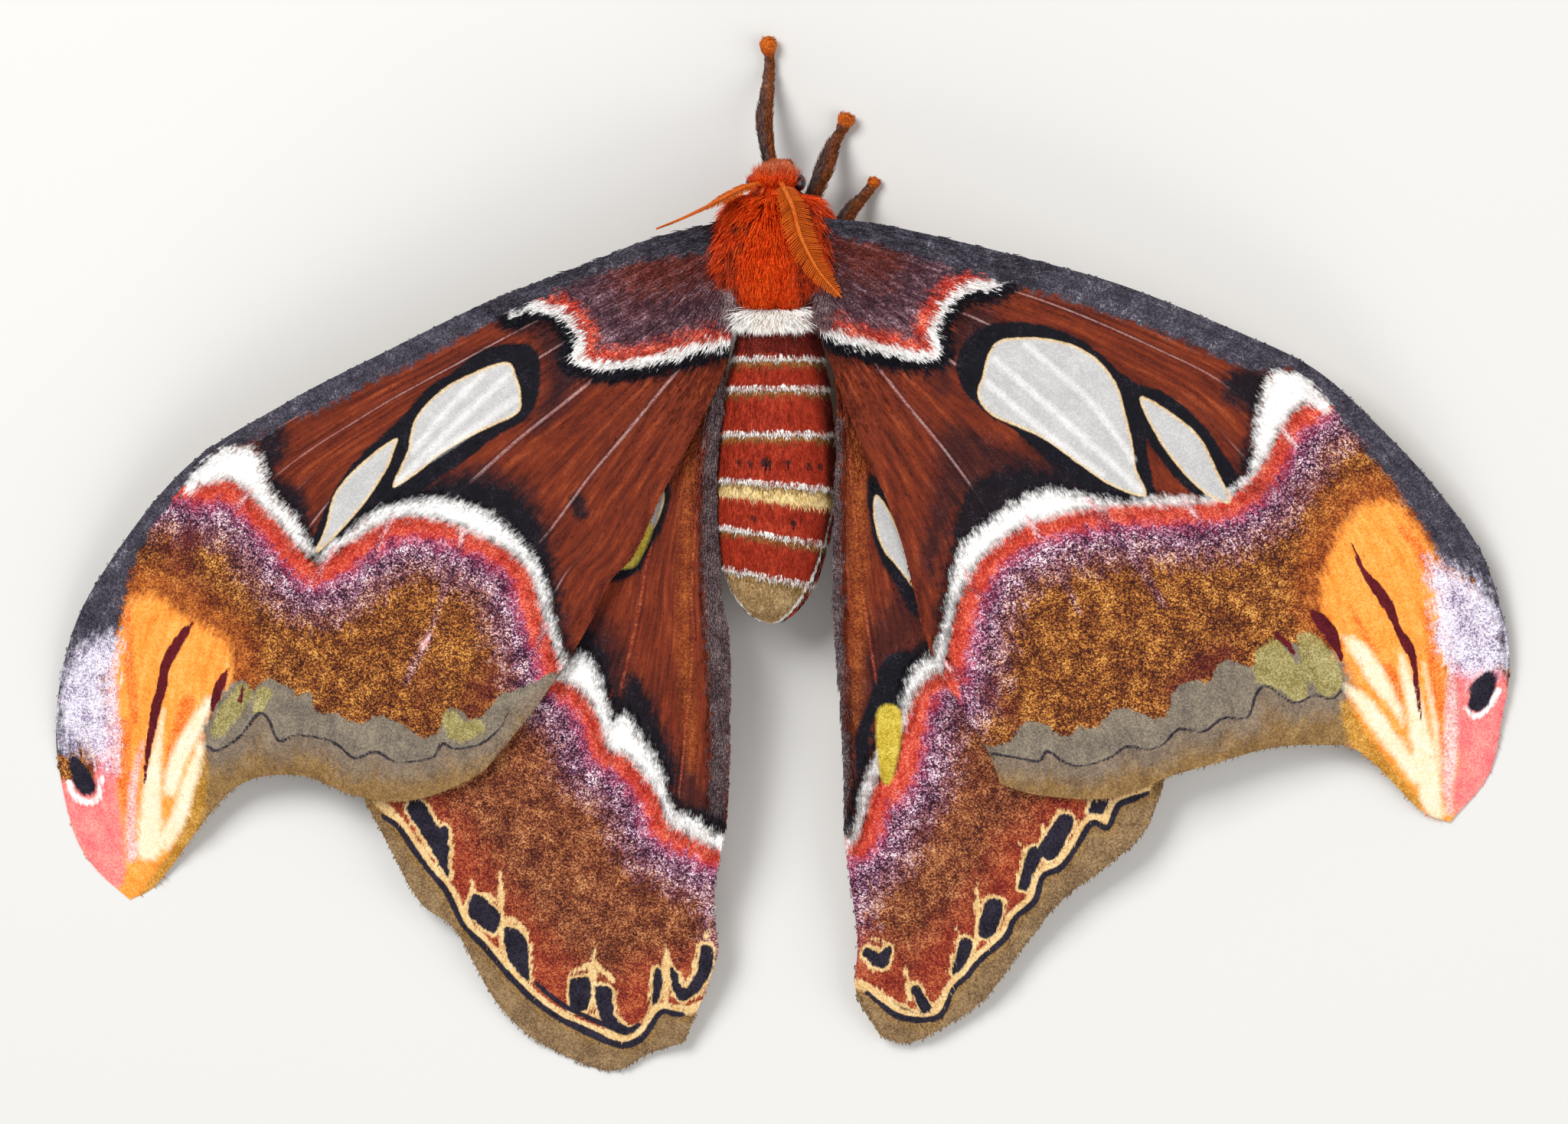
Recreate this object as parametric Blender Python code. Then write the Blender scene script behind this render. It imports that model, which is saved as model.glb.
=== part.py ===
"""Atlas moth at rest with its wings spread flat, standing on a floor on its feet and its forewing tips.

Lengths are in metres, +Z is up, +Y points towards the head and +X to the moth's right.
The outlines are written in millimetres from the middle of the thorax, as they look from above with
the body rolled a little to one side. lay() brings such a point down on to the curved wing surface.
"""

import math
import random

import bmesh
import bpy
import numpy as np
from mathutils import Vector

MM = 0.001
MERGE = 0.0000002
OBJECT_NAME = "atlas_moth"

# Where the middle of the thorax stands in the part's own frame, so that the origin is under the
# middle of the whole part
THORAX_X = 3.82
THORAX_Y = 39.46
THORAX_Z = 12.0

# The direction that the outlines were measured from
SEEN_ROLL = math.radians(12.0)
SEEN_FROM = 900.0
SEEN_MIDDLE = (0.9, -40.4)

# The common surface that all four wings follow, a shallow dome that leans a little
WING_CROWN = 15.4
WING_DOME = 0.00111
WING_LEAN = 0.0117
FORE_ABOVE = 0.3
HIND_BELOW = 1.5
WING_THICK = 0.6
ROOT_THICK = 1.0
GAP = 0.3

FORE_ROWS = 15
HIND_ROWS = 13
ROW_POWER = 0.85
ROOM_LINES = 7
ROOM_ROWS = 5
# How far along its length a wing has come down to its own thickness
THIN_FROM = 0.25
# Points of a smooth curve between two given ones, and how often a laid point is corrected
CURVE_STEPS = 24
LAY_STEPS = 6

# Main veins: their places across the wing from the front edge to the inner edge, and the ridge
# that each one raises in both faces
FORE_VEINS = (0.07, 0.24, 0.42, 0.60, 0.80)
HIND_VEINS = (0.20, 0.42, 0.64, 0.86)
VEIN_HALF_WIDTH = 0.017
VEIN_HIGH = 0.22

# Edges of each wing. front and inner run from the root outwards, margin from the front edge's end
# to the inner edge's end.
FORE_RIGHT = {
    "front": [(5.1, 4.6), (14.0, 3.6), (29.3, 0.1), (44.6, -4.1), (59.9, -10.2), (70.5, -15.4),
              (79.7, -23.8), (86.8, -31.7), (92.5, -40.3), (95.6, -52.0), (94.6, -61.1),
              (92.8, -68.4), (87.8, -74.4)],
    "margin": [(87.8, -74.4), (83.8, -72.6), (76.3, -65.3), (71.2, -64.3), (64.4, -64.7),
               (56.8, -66.8), (51.0, -68.5), (46.5, -70.5), (41.5, -71.4), (33.8, -70.8),
               (29.2, -69.4)],
    "inner": [(5.1, -5.5), (6.3, -12.1), (10.2, -23.0), (13.4, -30.1), (16.3, -38.0),
              (18.1, -45.1), (20.2, -52.3), (24.5, -60.1), (27.5, -65.0), (29.2, -69.4)],
}
FORE_LEFT = {
    "front": [(-6.5, 4.2), (-16.5, 1.8), (-25.5, -1.7), (-37.5, -6.3), (-50.9, -12.8),
              (-64.3, -19.7), (-77.6, -28.4), (-88.8, -42.9), (-93.0, -52.9), (-94.2, -64.0),
              (-92.0, -74.6), (-89.0, -80.1), (-84.3, -84.5)],
    "margin": [(-84.3, -84.5), (-81.0, -82.4), (-75.7, -75.3), (-71.6, -70.5), (-67.5, -68.5),
               (-61.7, -68.4), (-55.6, -70.8), (-50.6, -71.7), (-46.1, -71.2), (-41.3, -69.4),
               (-38.2, -67.6)],
    "inner": [(-6.5, -5.5), (-6.4, -13.6), (-11.0, -24.0), (-15.0, -31.5), (-18.6, -39.3),
              (-21.7, -42.8), (-24.4, -48.3), (-27.5, -53.5), (-32.0, -60.0), (-38.2, -67.6)],
}
HIND_RIGHT = {
    "front": [(5.4, -3.2), (13.5, -12.0), (33.5, -29.0), (46.5, -49.0), (51.5, -62.0),
              (50.3, -69.9)],
    "margin": [(50.3, -69.9), (47.8, -75.7), (43.2, -80.0), (37.1, -84.6), (31.9, -91.0),
               (27.3, -97.2), (21.8, -101.1), (17.2, -103.2), (13.5, -102.3)],
    "inner": [(5.4, -8.0), (7.6, -16.0), (7.9, -25.0), (7.4, -44.4), (8.8, -65.9), (9.1, -78.0),
              (10.5, -89.5), (10.3, -96.5), (13.5, -102.3)],
}
HIND_LEFT = {
    "front": [(-6.6, -3.2), (-14.5, -12.0), (-31.5, -27.0), (-45.5, -47.0), (-51.5, -61.0),
              (-53.9, -71.5)],
    "margin": [(-53.9, -71.5), (-50.0, -78.9), (-46.5, -85.0), (-41.9, -88.7), (-36.6, -98.0),
               (-30.5, -103.4), (-22.0, -106.8), (-16.8, -104.6), (-12.1, -103.1)],
    "inner": [(-6.6, -8.0), (-6.9, -18.0), (-7.9, -29.0), (-7.4, -44.0), (-6.3, -52.0),
              (-6.6, -72.0), (-8.3, -84.0), (-8.0, -92.0), (-12.1, -103.1)],
}

# Body sections: place along Y, middle X, middle Z, half width, half height
THORAX_SECTIONS = [
    (7.5, 0.0, 12.9, 3.0, 3.0),
    (6.4, 0.0, 12.6, 4.6, 4.5),
    (4.2, 0.0, 12.2, 5.8, 5.8),
    (1.6, 0.0, 12.0, 6.3, 6.3),
    (-1.6, 0.0, 11.9, 6.3, 6.2),
    (-4.2, 0.0, 11.7, 5.6, 5.6),
    (-5.8, 0.0, 11.4, 4.7, 4.8),
    (-6.6, 0.0, 11.2, 4.0, 4.2),
]
ABDOMEN_SECTIONS = [
    (-7.0, 0.0, 11.2, 4.2, 4.3),
    (-8.2, 0.0, 11.0, 4.9, 5.0),
    (-10.6, -0.1, 10.6, 5.3, 5.4),
    (-15.8, -0.3, 9.9, 6.4, 6.2),
    (-20.6, -0.5, 9.4, 7.1, 6.6),
    (-26.8, -0.6, 9.2, 7.6, 6.8),
    (-33.4, -0.8, 9.1, 7.7, 6.8),
    (-39.5, -1.2, 8.8, 6.8, 6.2),
    (-43.6, -1.5, 8.5, 5.5, 5.1),
    (-46.6, -1.6, 8.2, 3.6, 3.4),
    (-48.1, -1.6, 8.0, 1.9, 1.7),
]
# Each ring of the abdomen ends in a small step down at these places along Y
RING_ENDS = (-13.8, -17.7, -23.6, -30.1, -36.8, -42.3)
RING_STEP = 0.3
RING_SLOPE = 0.7
RING_CREST = 0.1

# Locks of long hair: rows of roots along Y, with how many go round the body, how far round they
# reach from the top, how long they are, how far they stand off the skin, which way along Y they
# lie, and the place along Y that they stop at
BREAST_LOCKS = {
    "rows": [(7.0, 7), (5.0, 9), (2.8, 10), (0.5, 9), (-1.8, 9), (-3.7, 8)],
    "reach": math.radians(150), "length": 4.7, "stand": 1.7, "width": 3.3, "thick": 0.8,
    "lie": -1, "stop": -6.75,
}
COLLAR_LOCKS = {
    "rows": [(-7.4, 8), (-8.1, 7)],
    "reach": math.radians(70), "length": 3.0, "stand": 1.35, "width": 2.3, "thick": 0.7,
    "lie": -1, "stop": -10.9,
}
BROW_LOCKS = {
    "rows": [(8.6, 5), (9.6, 4)],
    "reach": math.radians(62), "length": 2.1, "stand": 0.7, "width": 1.4, "thick": 0.55,
    "lie": 1, "stop": 11.7,
}
# Shoulder locks lie over the roots of the forewings: first root, last root, first tip, last tip
SHOULDER_ROOTS = ((4.4, 4.4, 16.5), (4.9, -0.4, 17.0))
SHOULDER_TIPS = ((8.0, 1.2, 17.3), (7.4, -4.5, 17.5))
SHOULDER_BULGE = 0.6
SHOULDER_COUNT = 4
SHOULDER_WIDTH = 3.0
SHOULDER_WIDTHS = (0.8, 1.0, 0.85)
SHOULDER_SUNK = 0.8
SHOULDER_BACK = 0.25
SHOULDER_KNEE = 0.55
SHOULDER_STRAY = (0.3, 0.4)
LOCK_SUNK = 0.9
# A lock's shape: share of its length, share of its width, share of its stand, or -1 under the skin
LOCK_SHAPE = ((0.0, 0.75, -1.0), (0.3, 1.0, 0.5), (0.62, 0.8, 1.0), (1.0, 0.0, 0.9))
# How far apart locks of one row are in angle, length, stand and drift, and how much of a lock's
# length the body under it is read along
LOCK_TURN = 0.05
LOCK_LENGTHS = (0.88, 1.1)
LOCK_STANDS = (0.85, 1.12)
LOCK_DRIFT = 0.12
LOCK_FOLLOW = 0.6
SEED = 7

HEAD_SECTIONS = [
    (7.85, 0.0, 12.8, 2.6, 2.6),
    (8.7, 0.0, 12.8, 2.95, 2.95),
    (9.8, 0.0, 12.6, 2.7, 2.9),
    (10.7, 0.0, 12.2, 1.9, 2.2),
    (11.3, 0.0, 11.9, 1.0, 1.2),
]
BODY_SIDES = 20
HEAD_SIDES = 16
BODY_POWER = 2.3

EYE_RADIUS = 1.25
EYE_PLACE = (2.75, 9.1, 12.8)

# Feelers: middle line from the root to the tip
FEELER_RIGHT = [(1.3, 8.9, 15.5), (2.5, 7.6, 18.2), (3.9, 5.2, 20.0), (5.0, 1.6, 20.6),
                (7.1, -2.6, 20.0), (9.9, -6.2, 18.3)]
FEELER_LEFT = [(-1.4, 8.9, 15.5), (-3.2, 8.2, 17.6), (-6.4, 6.4, 19.1), (-10.6, 4.4, 19.4),
               (-14.6, 2.9, 19.0)]
FEELER_RIGHT_UP = (0.3, 0.15, 1.0)
FEELER_LEFT_UP = (0.35, 1.0, 0.1)
FEELER_STEPS = 10
FEELER_RADIUS = (0.45, 0.38, 0.25)
FEELER_SIDES = 6
# The comb: rays a side, how far they reach sideways along the feeler, how they lean and taper
COMB_RAYS = 16
COMB_START = 0.10
COMB_END = 0.95
COMB_PLACES = (0.0, 0.1, 0.35, 0.6, 0.85, 1.0)
COMB_REACH = (0.5, 1.1, 2.1, 1.95, 1.2, 0.5)
COMB_LEAN = 0.55
COMB_ROOM = 1.1
RAY_WIDTH = 0.62
RAY_THICK = 0.50
RAY_TAPER = 0.9
RAY_SUNK = 0.1
# Where a ray bends: share of its reach sideways and along the feeler
RAY_KNEE = (0.55, 0.45)

# Legs: points from the breast to the toe, with the radius at each. The toes of the forelegs are
# round knobs.
LEGS = {
    "leg_fore_left": [(-1.8, 5.4, 7.6, 0.9), (-1.8, 9.0, 5.3, 1.0), (-2.5, 13.6, 6.1, 1.05),
                      (-3.2, 17.4, 5.2, 1.15), (-3.3, 21.0, 3.1, 1.0), (-3.4, 24.2, 1.2, 0.85),
                      (-3.4, 26.2, 0.85, 0.8), (-3.5, 28.0, 1.2, 1.2), (-3.5, 28.9, 1.2, 0.8)],
    "leg_fore_right": [(2.1, 5.3, 7.6, 0.9), (3.6, 8.0, 5.7, 1.15), (4.7, 11.2, 4.6, 1.2),
                       (5.4, 14.5, 2.2, 1.0), (6.1, 16.2, 0.95, 0.85), (6.9, 17.8, 1.2, 1.2),
                       (7.3, 18.6, 1.2, 0.8)],
    "leg_mid_right": [(3.6, 1.0, 6.9, 0.9), (6.6, 3.2, 5.9, 1.1), (8.3, 6.0, 3.8, 1.0),
                      (9.4, 7.7, 1.7, 0.85), (10.3, 9.1, 0.8, 0.85), (10.9, 10.1, 0.7, 0.8)],
    "leg_mid_left": [(-3.6, 1.0, 6.9, 0.9), (-7.6, 0.4, 5.9, 1.1), (-10.8, -0.6, 3.4, 1.0),
                     (-12.8, -1.8, 0.8, 0.85), (-14.2, -2.4, 0.75, 0.85)],
    "leg_hind_right": [(3.2, -3.2, 7.0, 0.9), (7.0, -6.4, 5.9, 1.1), (10.0, -12.0, 3.6, 1.0),
                       (11.2, -17.0, 0.8, 0.85), (11.8, -18.8, 0.75, 0.85)],
    "leg_hind_left": [(-3.2, -3.2, 7.0, 0.9), (-7.0, -6.4, 5.9, 1.1), (-10.0, -12.0, 3.6, 1.0),
                      (-11.2, -17.0, 0.8, 0.85), (-11.8, -18.8, 0.75, 0.85)],
}
# The palps under the face, for the right side
PALP = [(0.9, 10.1, 10.6, 0.5), (1.0, 11.2, 9.8, 0.65), (0.85, 12.1, 9.9, 0.4)]
LEG_SIDES = 8
LEG_STEPS = 2

COLOURS = {
    "fur_orange": ((0.60, 0.05, 0.01), 0.9),
    "abdomen_red": ((0.55, 0.05, 0.02), 0.8),
    "wing_rust": ((0.26, 0.04, 0.015), 0.8),
    "feeler_orange": ((0.62, 0.17, 0.03), 0.6),
    "leg_brown": ((0.20, 0.08, 0.05), 0.8),
    "eye_black": ((0.01, 0.01, 0.012), 0.15),
}


def clear_scene():
    """Removes every object, and the collections that an earlier run made."""
    for item in list(bpy.data.objects):
        bpy.data.objects.remove(item, do_unlink=True)
    for group in list(bpy.data.collections):
        bpy.data.collections.remove(group)


def new_collection(name):
    group = bpy.data.collections.new(name)
    bpy.context.scene.collection.children.link(group)
    return group


def new_material(name):
    colour, roughness = COLOURS[name]
    material = bpy.data.materials.new(name)
    material.use_nodes = True
    shader = material.node_tree.nodes["Principled BSDF"]
    shader.inputs["Base Color"].default_value = (*colour, 1.0)
    shader.inputs["Roughness"].default_value = roughness
    shader.inputs["Metallic"].default_value = 0.0
    return material


def smooth_path(points, places):
    """Points on a smooth curve through the given ones, at places from 0 to 1 of its length."""
    knots = np.array(points, float)
    ends = np.vstack([2 * knots[0] - knots[1], knots, 2 * knots[-1] - knots[-2]])
    fine = []
    for i in range(len(knots) - 1):
        a, b, c, d = ends[i], ends[i + 1], ends[i + 2], ends[i + 3]
        t = np.linspace(0, 1, CURVE_STEPS, endpoint=False)[:, None]
        fine.append(0.5 * (2 * b + (c - a) * t + (2 * a - 5 * b + 4 * c - d) * t**2
                           + (3 * b - a - 3 * c + d) * t**3))
    fine = np.vstack(fine + [knots[-1:]])
    length = np.concatenate([[0], np.cumsum(np.linalg.norm(np.diff(fine, axis=0), axis=1))])
    wanted = length[-1] * np.asarray(places)
    return np.stack([np.interp(wanted, length, column) for column in fine.T], axis=1)


def dome(x, y):
    """Height of the wings' common surface over a point measured from the thorax."""
    return WING_CROWN - WING_DOME * (x**2 + y**2) - WING_LEAN * x


def lay(u, v, above):
    """Points on the wing surface, raised by above, that are seen at u, v."""
    side, up = math.cos(SEEN_ROLL), math.sin(SEEN_ROLL)
    z = np.full(np.shape(u), WING_CROWN)
    for _ in range(LAY_STEPS):
        depth = z - THORAX_Z
        across, along = u - SEEN_MIDDLE[0], v - SEEN_MIDDLE[1]
        near = (across * up + depth) / side
        shrink = 1 - near / SEEN_FROM
        across, y = across * shrink, along * shrink + SEEN_MIDDLE[1]
        x = (across + SEEN_MIDDLE[0] + depth * up) / side
        z = dome(x, y) + above
    return x, y, z


def wing_lines(veins):
    """Places of a wing's lines from 0 to 1: both edges, each vein with its two feet, and one
    line in the middle of each field between them. Also gives the vein height at each line.
    """
    bounds = [0.0, *veins, 1.0]
    fields = [(a + b) / 2 for a, b in zip(bounds, bounds[1:])]
    feet = [v + side * VEIN_HALF_WIDTH for v in veins for side in (-1, 1)]
    places = np.array(sorted([0.0, 1.0, *veins, *fields, *feet]))
    return places, VEIN_HIGH * np.isin(places, veins)


def wing_grid(edges, places, rows):
    """Blends a wing's three edges and its root into lines that fan out like its veins."""
    even = np.linspace(0, 1, rows)
    front = smooth_path(edges["front"], even**ROW_POWER)
    inner = smooth_path(edges["inner"], even**ROW_POWER)
    margin = smooth_path(edges["margin"], places)
    root = smooth_path([edges["front"][0], edges["inner"][0]], places)
    s = even[None, :, None]
    t = places[:, None, None]
    edges_part = (1 - t) * front[None] + t * inner[None]
    ends_part = (1 - s) * root[:, None] + s * margin[:, None]
    corners = ((1 - s) * ((1 - t) * front[0] + t * inner[0])
               + s * ((1 - t) * front[-1] + t * inner[-1]))
    return edges_part + ends_part - corners


def place(x, y, z):
    """Points measured from the thorax, in millimetres, brought to the part's frame in metres."""
    return np.stack([x + THORAX_X, y + THORAX_Y, z], axis=-1) * MM


def grid_faces(lines, rows, first, flip):
    """Triangles over a grid of points, all with the same diagonal."""
    i, j = np.meshgrid(np.arange(lines - 1), np.arange(rows - 1), indexing="ij")
    a = (first + i * rows + j).ravel()
    b, c, d = a + rows, a + rows + 1, a + 1
    faces = np.concatenate([np.stack([a, b, c], 1), np.stack([a, c, d], 1)])
    return faces[:, ::-1] if flip else faces


def plate(top, bottom):
    """A closed plate between two grids of the same size."""
    lines, rows = top.shape[:2]
    count = lines * rows
    verts = np.vstack([top.reshape(-1, 3), bottom.reshape(-1, 3)])
    faces = [*grid_faces(lines, rows, 0, False), *grid_faces(lines, rows, count, True)]
    rim = [i * rows for i in range(lines)]
    rim += [(lines - 1) * rows + j for j in range(1, rows)]
    rim += [i * rows + rows - 1 for i in range(lines - 2, -1, -1)]
    rim += list(range(rows - 2, 0, -1))
    for here, after in zip(rim, rim[1:] + rim[:1]):
        faces.append((after, here, here + count))
        faces.append((after, here + count, after + count))
    return verts, [tuple(int(k) for k in face) for face in faces]


def make_object(name, verts, faces, group, material):
    mesh = bpy.data.meshes.new(name)
    mesh.from_pydata([tuple(map(float, v)) for v in verts], [], faces)
    mesh.validate()
    shell = bmesh.new()
    shell.from_mesh(mesh)
    bmesh.ops.recalc_face_normals(shell, faces=shell.faces)
    shell.to_mesh(mesh)
    shell.free()
    mesh.materials.append(material)
    item = bpy.data.objects.new(name, mesh)
    group.objects.link(item)
    return item


def round_shading(item, angle=40.0):
    item.data.shade_smooth()
    item.data.set_sharp_from_angle(angle=math.radians(angle))


def widened(grid, by):
    """A grid of points with its four edges moved outwards."""
    wide = grid.copy()
    for edge, beside in ((0, 1), (-1, -2)):
        out = grid[edge] - grid[beside]
        wide[edge] += by * out / np.linalg.norm(out, axis=-1, keepdims=True)
    for edge, beside in ((0, 1), (-1, -2)):
        out = grid[:, edge] - grid[:, beside]
        wide[:, edge] += by * out / np.linalg.norm(out, axis=-1, keepdims=True)
    return wide


def half_thickness(rows):
    """Half the thickness of a wing along its rows, falling from the root outwards."""
    s = np.linspace(0, 1, rows)
    return 0.5 * np.interp(s, [0, THIN_FROM, 1], [ROOT_THICK, WING_THICK, WING_THICK])


def make_wing(name, edges, above, veins, rows, group, material):
    """One wing as a thin plate over its grid, thicker at the root and along its veins, with its
    lowest part flat.
    """
    places, ridge = wing_lines(veins)
    flat = wing_grid(edges, places, rows)
    x, y, z = lay(flat[..., 0], flat[..., 1], above)
    half = half_thickness(rows)[None, :] + ridge[:, None]
    low = np.maximum(z - half, 0.0)
    high = np.maximum(z + half, low + WING_THICK)
    item = make_object(name, *plate(place(x, y, high), place(x, y, low)), group, material)
    round_shading(item)
    return item


def wing_room(name, edges, above, rows, group, material):
    """The space that a wing's root takes up, with the gap that its neighbours keep to it."""
    lines = np.linspace(0, 1, ROOM_LINES)
    flat = widened(wing_grid(edges, lines, rows)[:, :ROOM_ROWS], GAP)
    x, y, z = lay(flat[..., 0], flat[..., 1], above)
    half = GAP + VEIN_HIGH + half_thickness(rows)[None, :ROOM_ROWS]
    return make_object(name, *plate(place(x, y, z + half), place(x, y, z - half)), group,
                       material)


def section_ring(section, sides, power):
    """One rounded cross section of the body, standing upright across Y."""
    y, x, z, wide, high = section
    angle = np.arange(sides) * 2 * math.pi / sides
    c, s = np.cos(angle), np.sin(angle)
    reach = (np.abs(c) ** power + np.abs(s) ** power) ** (-1 / power)
    return place(x + wide * c * reach, np.full(sides, y), z + high * s * reach)


def loft(rings):
    """A closed body through rings of equal length, with flat ends."""
    sides = len(rings[0])
    verts = np.vstack(rings)
    faces = []
    for i in range(len(rings) - 1):
        for j in range(sides):
            a, b = i * sides + j, i * sides + (j + 1) % sides
            faces.append((a, b, b + sides, a + sides))
    faces.append(tuple(range(sides))[::-1])
    last = (len(rings) - 1) * sides
    faces.append(tuple(range(last, last + sides)))
    return verts, faces


def make_body(name, sections, sides, group, material):
    rings = [section_ring(section, sides, BODY_POWER) for section in sections]
    item = make_object(name, *loft(rings), group, material)
    round_shading(item)
    return item


def ringed(sections):
    """Abdomen sections with a small step down at the end of each ring."""
    stops = []
    for section in sections:
        if all(abs(section[0] - end) > RING_SLOPE for end in RING_ENDS):
            stops.append(section)
    for end in RING_ENDS:
        for y, step in ((end + RING_CREST, 0.0), (end, RING_STEP), (end - RING_SLOPE, 0.0)):
            x, z, wide, tall = envelope(sections, y)
            stops.append((y, x, z, wide - step, tall - step))
    return sorted(stops, reverse=True)


def make_ball(name, centre, radius, group, material, rings=8):
    """A ball at a place measured from the thorax."""
    shell = bmesh.new()
    bmesh.ops.create_uvsphere(shell, u_segments=2 * rings, v_segments=rings, radius=radius * MM)
    mesh = bpy.data.meshes.new(name)
    shell.to_mesh(mesh)
    shell.free()
    mesh.materials.append(material)
    item = bpy.data.objects.new(name, mesh)
    item.location = Vector(place(*centre))
    group.objects.link(item)
    round_shading(item)
    return item


def cut(item, cutter, group, solver="EXACT"):
    """Cuts one closed mesh out of another, and keeps the cutter as a hidden helper."""
    for owner in list(cutter.users_collection):
        owner.objects.unlink(cutter)
    group.objects.link(cutter)
    cutter.hide_render = True
    cutter.display_type = "WIRE"
    modifier = item.modifiers.new("cut_" + cutter.name, "BOOLEAN")
    modifier.operation = "DIFFERENCE"
    modifier.solver = solver
    modifier.object = cutter


def frames(path):
    """Unit tangents along a path of points."""
    ahead = np.gradient(path, axis=0)
    return ahead / np.linalg.norm(ahead, axis=1, keepdims=True)


def make_leg(name, points, group, material, grow=0.0):
    """A leg or palp as a bent tapering tube, flat where it would pass below the floor."""
    stops = np.array(points)
    path = smooth_path(stops, np.linspace(0, 1, LEG_STEPS * (len(stops) - 1) + 1))
    spots, radii = path[:, :3], path[:, 3] + grow
    spots[0] -= grow * frames(spots)[0]
    tangents = frames(spots)
    rings = []
    angle = np.arange(LEG_SIDES) * 2 * math.pi / LEG_SIDES
    for spot, radius, ahead in zip(spots, radii, tangents):
        side = np.cross(ahead, (0.0, 0.0, 1.0))
        side /= np.linalg.norm(side)
        over = np.cross(side, ahead)
        ring = (spot + radius * (np.cos(angle)[:, None] * side + np.sin(angle)[:, None] * over))
        ring[:, 2] = np.maximum(ring[:, 2], 0.0)
        rings.append(place(ring[:, 0], ring[:, 1], ring[:, 2]))
    item = make_object(name, *loft(rings), group, material)
    round_shading(item)
    return item


def spike(path, sides, widths, thick):
    """A closed four-sided spike through path, flat across, that ends in a point.

    path has one point for each of widths and one more for the tip. sides is the direction of the
    width at each point of path.
    """
    ahead = frames(path)
    rings = []
    for spot, along, side, width in zip(path, ahead, sides, widths):
        side = side - along * np.dot(side, along)
        side /= np.linalg.norm(side)
        up = np.cross(side, along)
        half, deep = 0.5 * width * side, 0.5 * min(thick, width) * up
        rings.append([spot - half, spot - deep, spot + half, spot + deep])
    verts = np.vstack([*rings, path[-1:]])
    faces = [(0, 1, 2, 3)]
    for i in range(len(rings) - 1):
        for j in range(4):
            a, b = 4 * i + j, 4 * i + (j + 1) % 4
            faces.append((a, b, b + 4, a + 4))
    last, tip = 4 * (len(rings) - 1), len(verts) - 1
    faces += [(last + j, last + (j + 1) % 4, tip) for j in range(4)]
    return place(*verts.T), faces


def fuse(name, core, pieces, solver):
    """Joins pieces to a core by one union, applies it and keeps only its largest closed surface."""
    group = new_collection(name + "_pieces")
    for piece in pieces:
        for owner in list(piece.users_collection):
            owner.objects.unlink(piece)
        group.objects.link(piece)
    union = core.modifiers.new("join", "BOOLEAN")
    union.operation = "UNION"
    union.operand_type = "COLLECTION"
    union.collection = group
    union.solver = solver
    apply_modifiers(core)
    for piece in pieces:
        bpy.data.objects.remove(piece, do_unlink=True)
    bpy.data.collections.remove(group)


def apply_modifiers(item):
    """Replaces an object's mesh by its evaluated one, less any loose scrap."""
    bpy.context.view_layer.update()
    graph = bpy.context.evaluated_depsgraph_get()
    mesh = bpy.data.meshes.new_from_object(item.evaluated_get(graph))
    old = item.data
    item.modifiers.clear()
    item.data = mesh
    bpy.data.meshes.remove(old)
    keep_largest(mesh)


def keep_largest(mesh):
    """Deletes every connected piece of a mesh but the one with the largest volume."""
    shell = bmesh.new()
    shell.from_mesh(mesh)
    bmesh.ops.remove_doubles(shell, verts=shell.verts, dist=MERGE)
    bmesh.ops.dissolve_degenerate(shell, edges=shell.edges, dist=MERGE)
    bmesh.ops.triangulate(shell, faces=shell.faces)
    shell.faces.ensure_lookup_table()
    unseen, groups = set(shell.faces), []
    while unseen:
        stack = [unseen.pop()]
        found = set(stack)
        while stack:
            for edge in stack.pop().edges:
                fresh = [face for face in edge.link_faces if face in unseen]
                unseen.difference_update(fresh)
                found.update(fresh)
                stack.extend(fresh)
        groups.append(found)
    volumes = [abs(sum(v[0].co.dot(v[1].co.cross(v[2].co)) for v in
                       ([c.vert for c in face.loops] for face in group))) for group in groups]
    best = groups[volumes.index(max(volumes))]
    bmesh.ops.delete(shell, geom=[f for f in shell.faces if f not in best], context="FACES")
    shell.to_mesh(mesh)
    shell.free()


def envelope(sections, y):
    """Middle and half size of a body's cross section at y, carried on past its ends."""
    table = np.array(sections)[::-1]
    return [np.interp(y, table[:, 0], table[:, k]) for k in range(1, 5)]


def add_locks(name, sections, locks, group, material):
    """Flat tapered locks that start under the skin and lie backwards over it, as loose objects."""
    dice = random.Random(SEED)
    made = []
    for row, (y, count) in enumerate(locks["rows"]):
        for k in range(count):
            turn = locks["reach"] * ((k + 0.5 + 0.5 * (row % 2 - 0.5)) / count * 2 - 1)
            turn += dice.uniform(-LOCK_TURN, LOCK_TURN)
            length = locks["length"] * dice.uniform(*LOCK_LENGTHS)
            stand = locks["stand"] * dice.uniform(*LOCK_STANDS)
            drift = dice.uniform(-LOCK_DRIFT, LOCK_DRIFT)
            spots, sides, lie = [], [], locks["lie"]
            for along, _, high in LOCK_SHAPE:
                place_y = y + lie * min(along * length, abs(locks["stop"] - y))
                x, z, wide, tall = envelope(sections, y + lie * LOCK_FOLLOW * length * along)
                out = -LOCK_SUNK if high < 0 else stand * high
                angle = turn + drift * along
                c, s = math.cos(angle), math.sin(angle)
                spots.append((x + (wide + out) * s, place_y, z + (tall + out) * c))
                sides.append((c, 0.0, -s))
            widths = [locks["width"] * wide for _, wide, _ in LOCK_SHAPE[:-1]]
            verts, faces = spike(np.array(spots), np.array(sides), widths, locks["thick"])
            made.append(make_object(f"{name}_lock_{row}_{k}", verts, faces, group, material))
    return made


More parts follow.
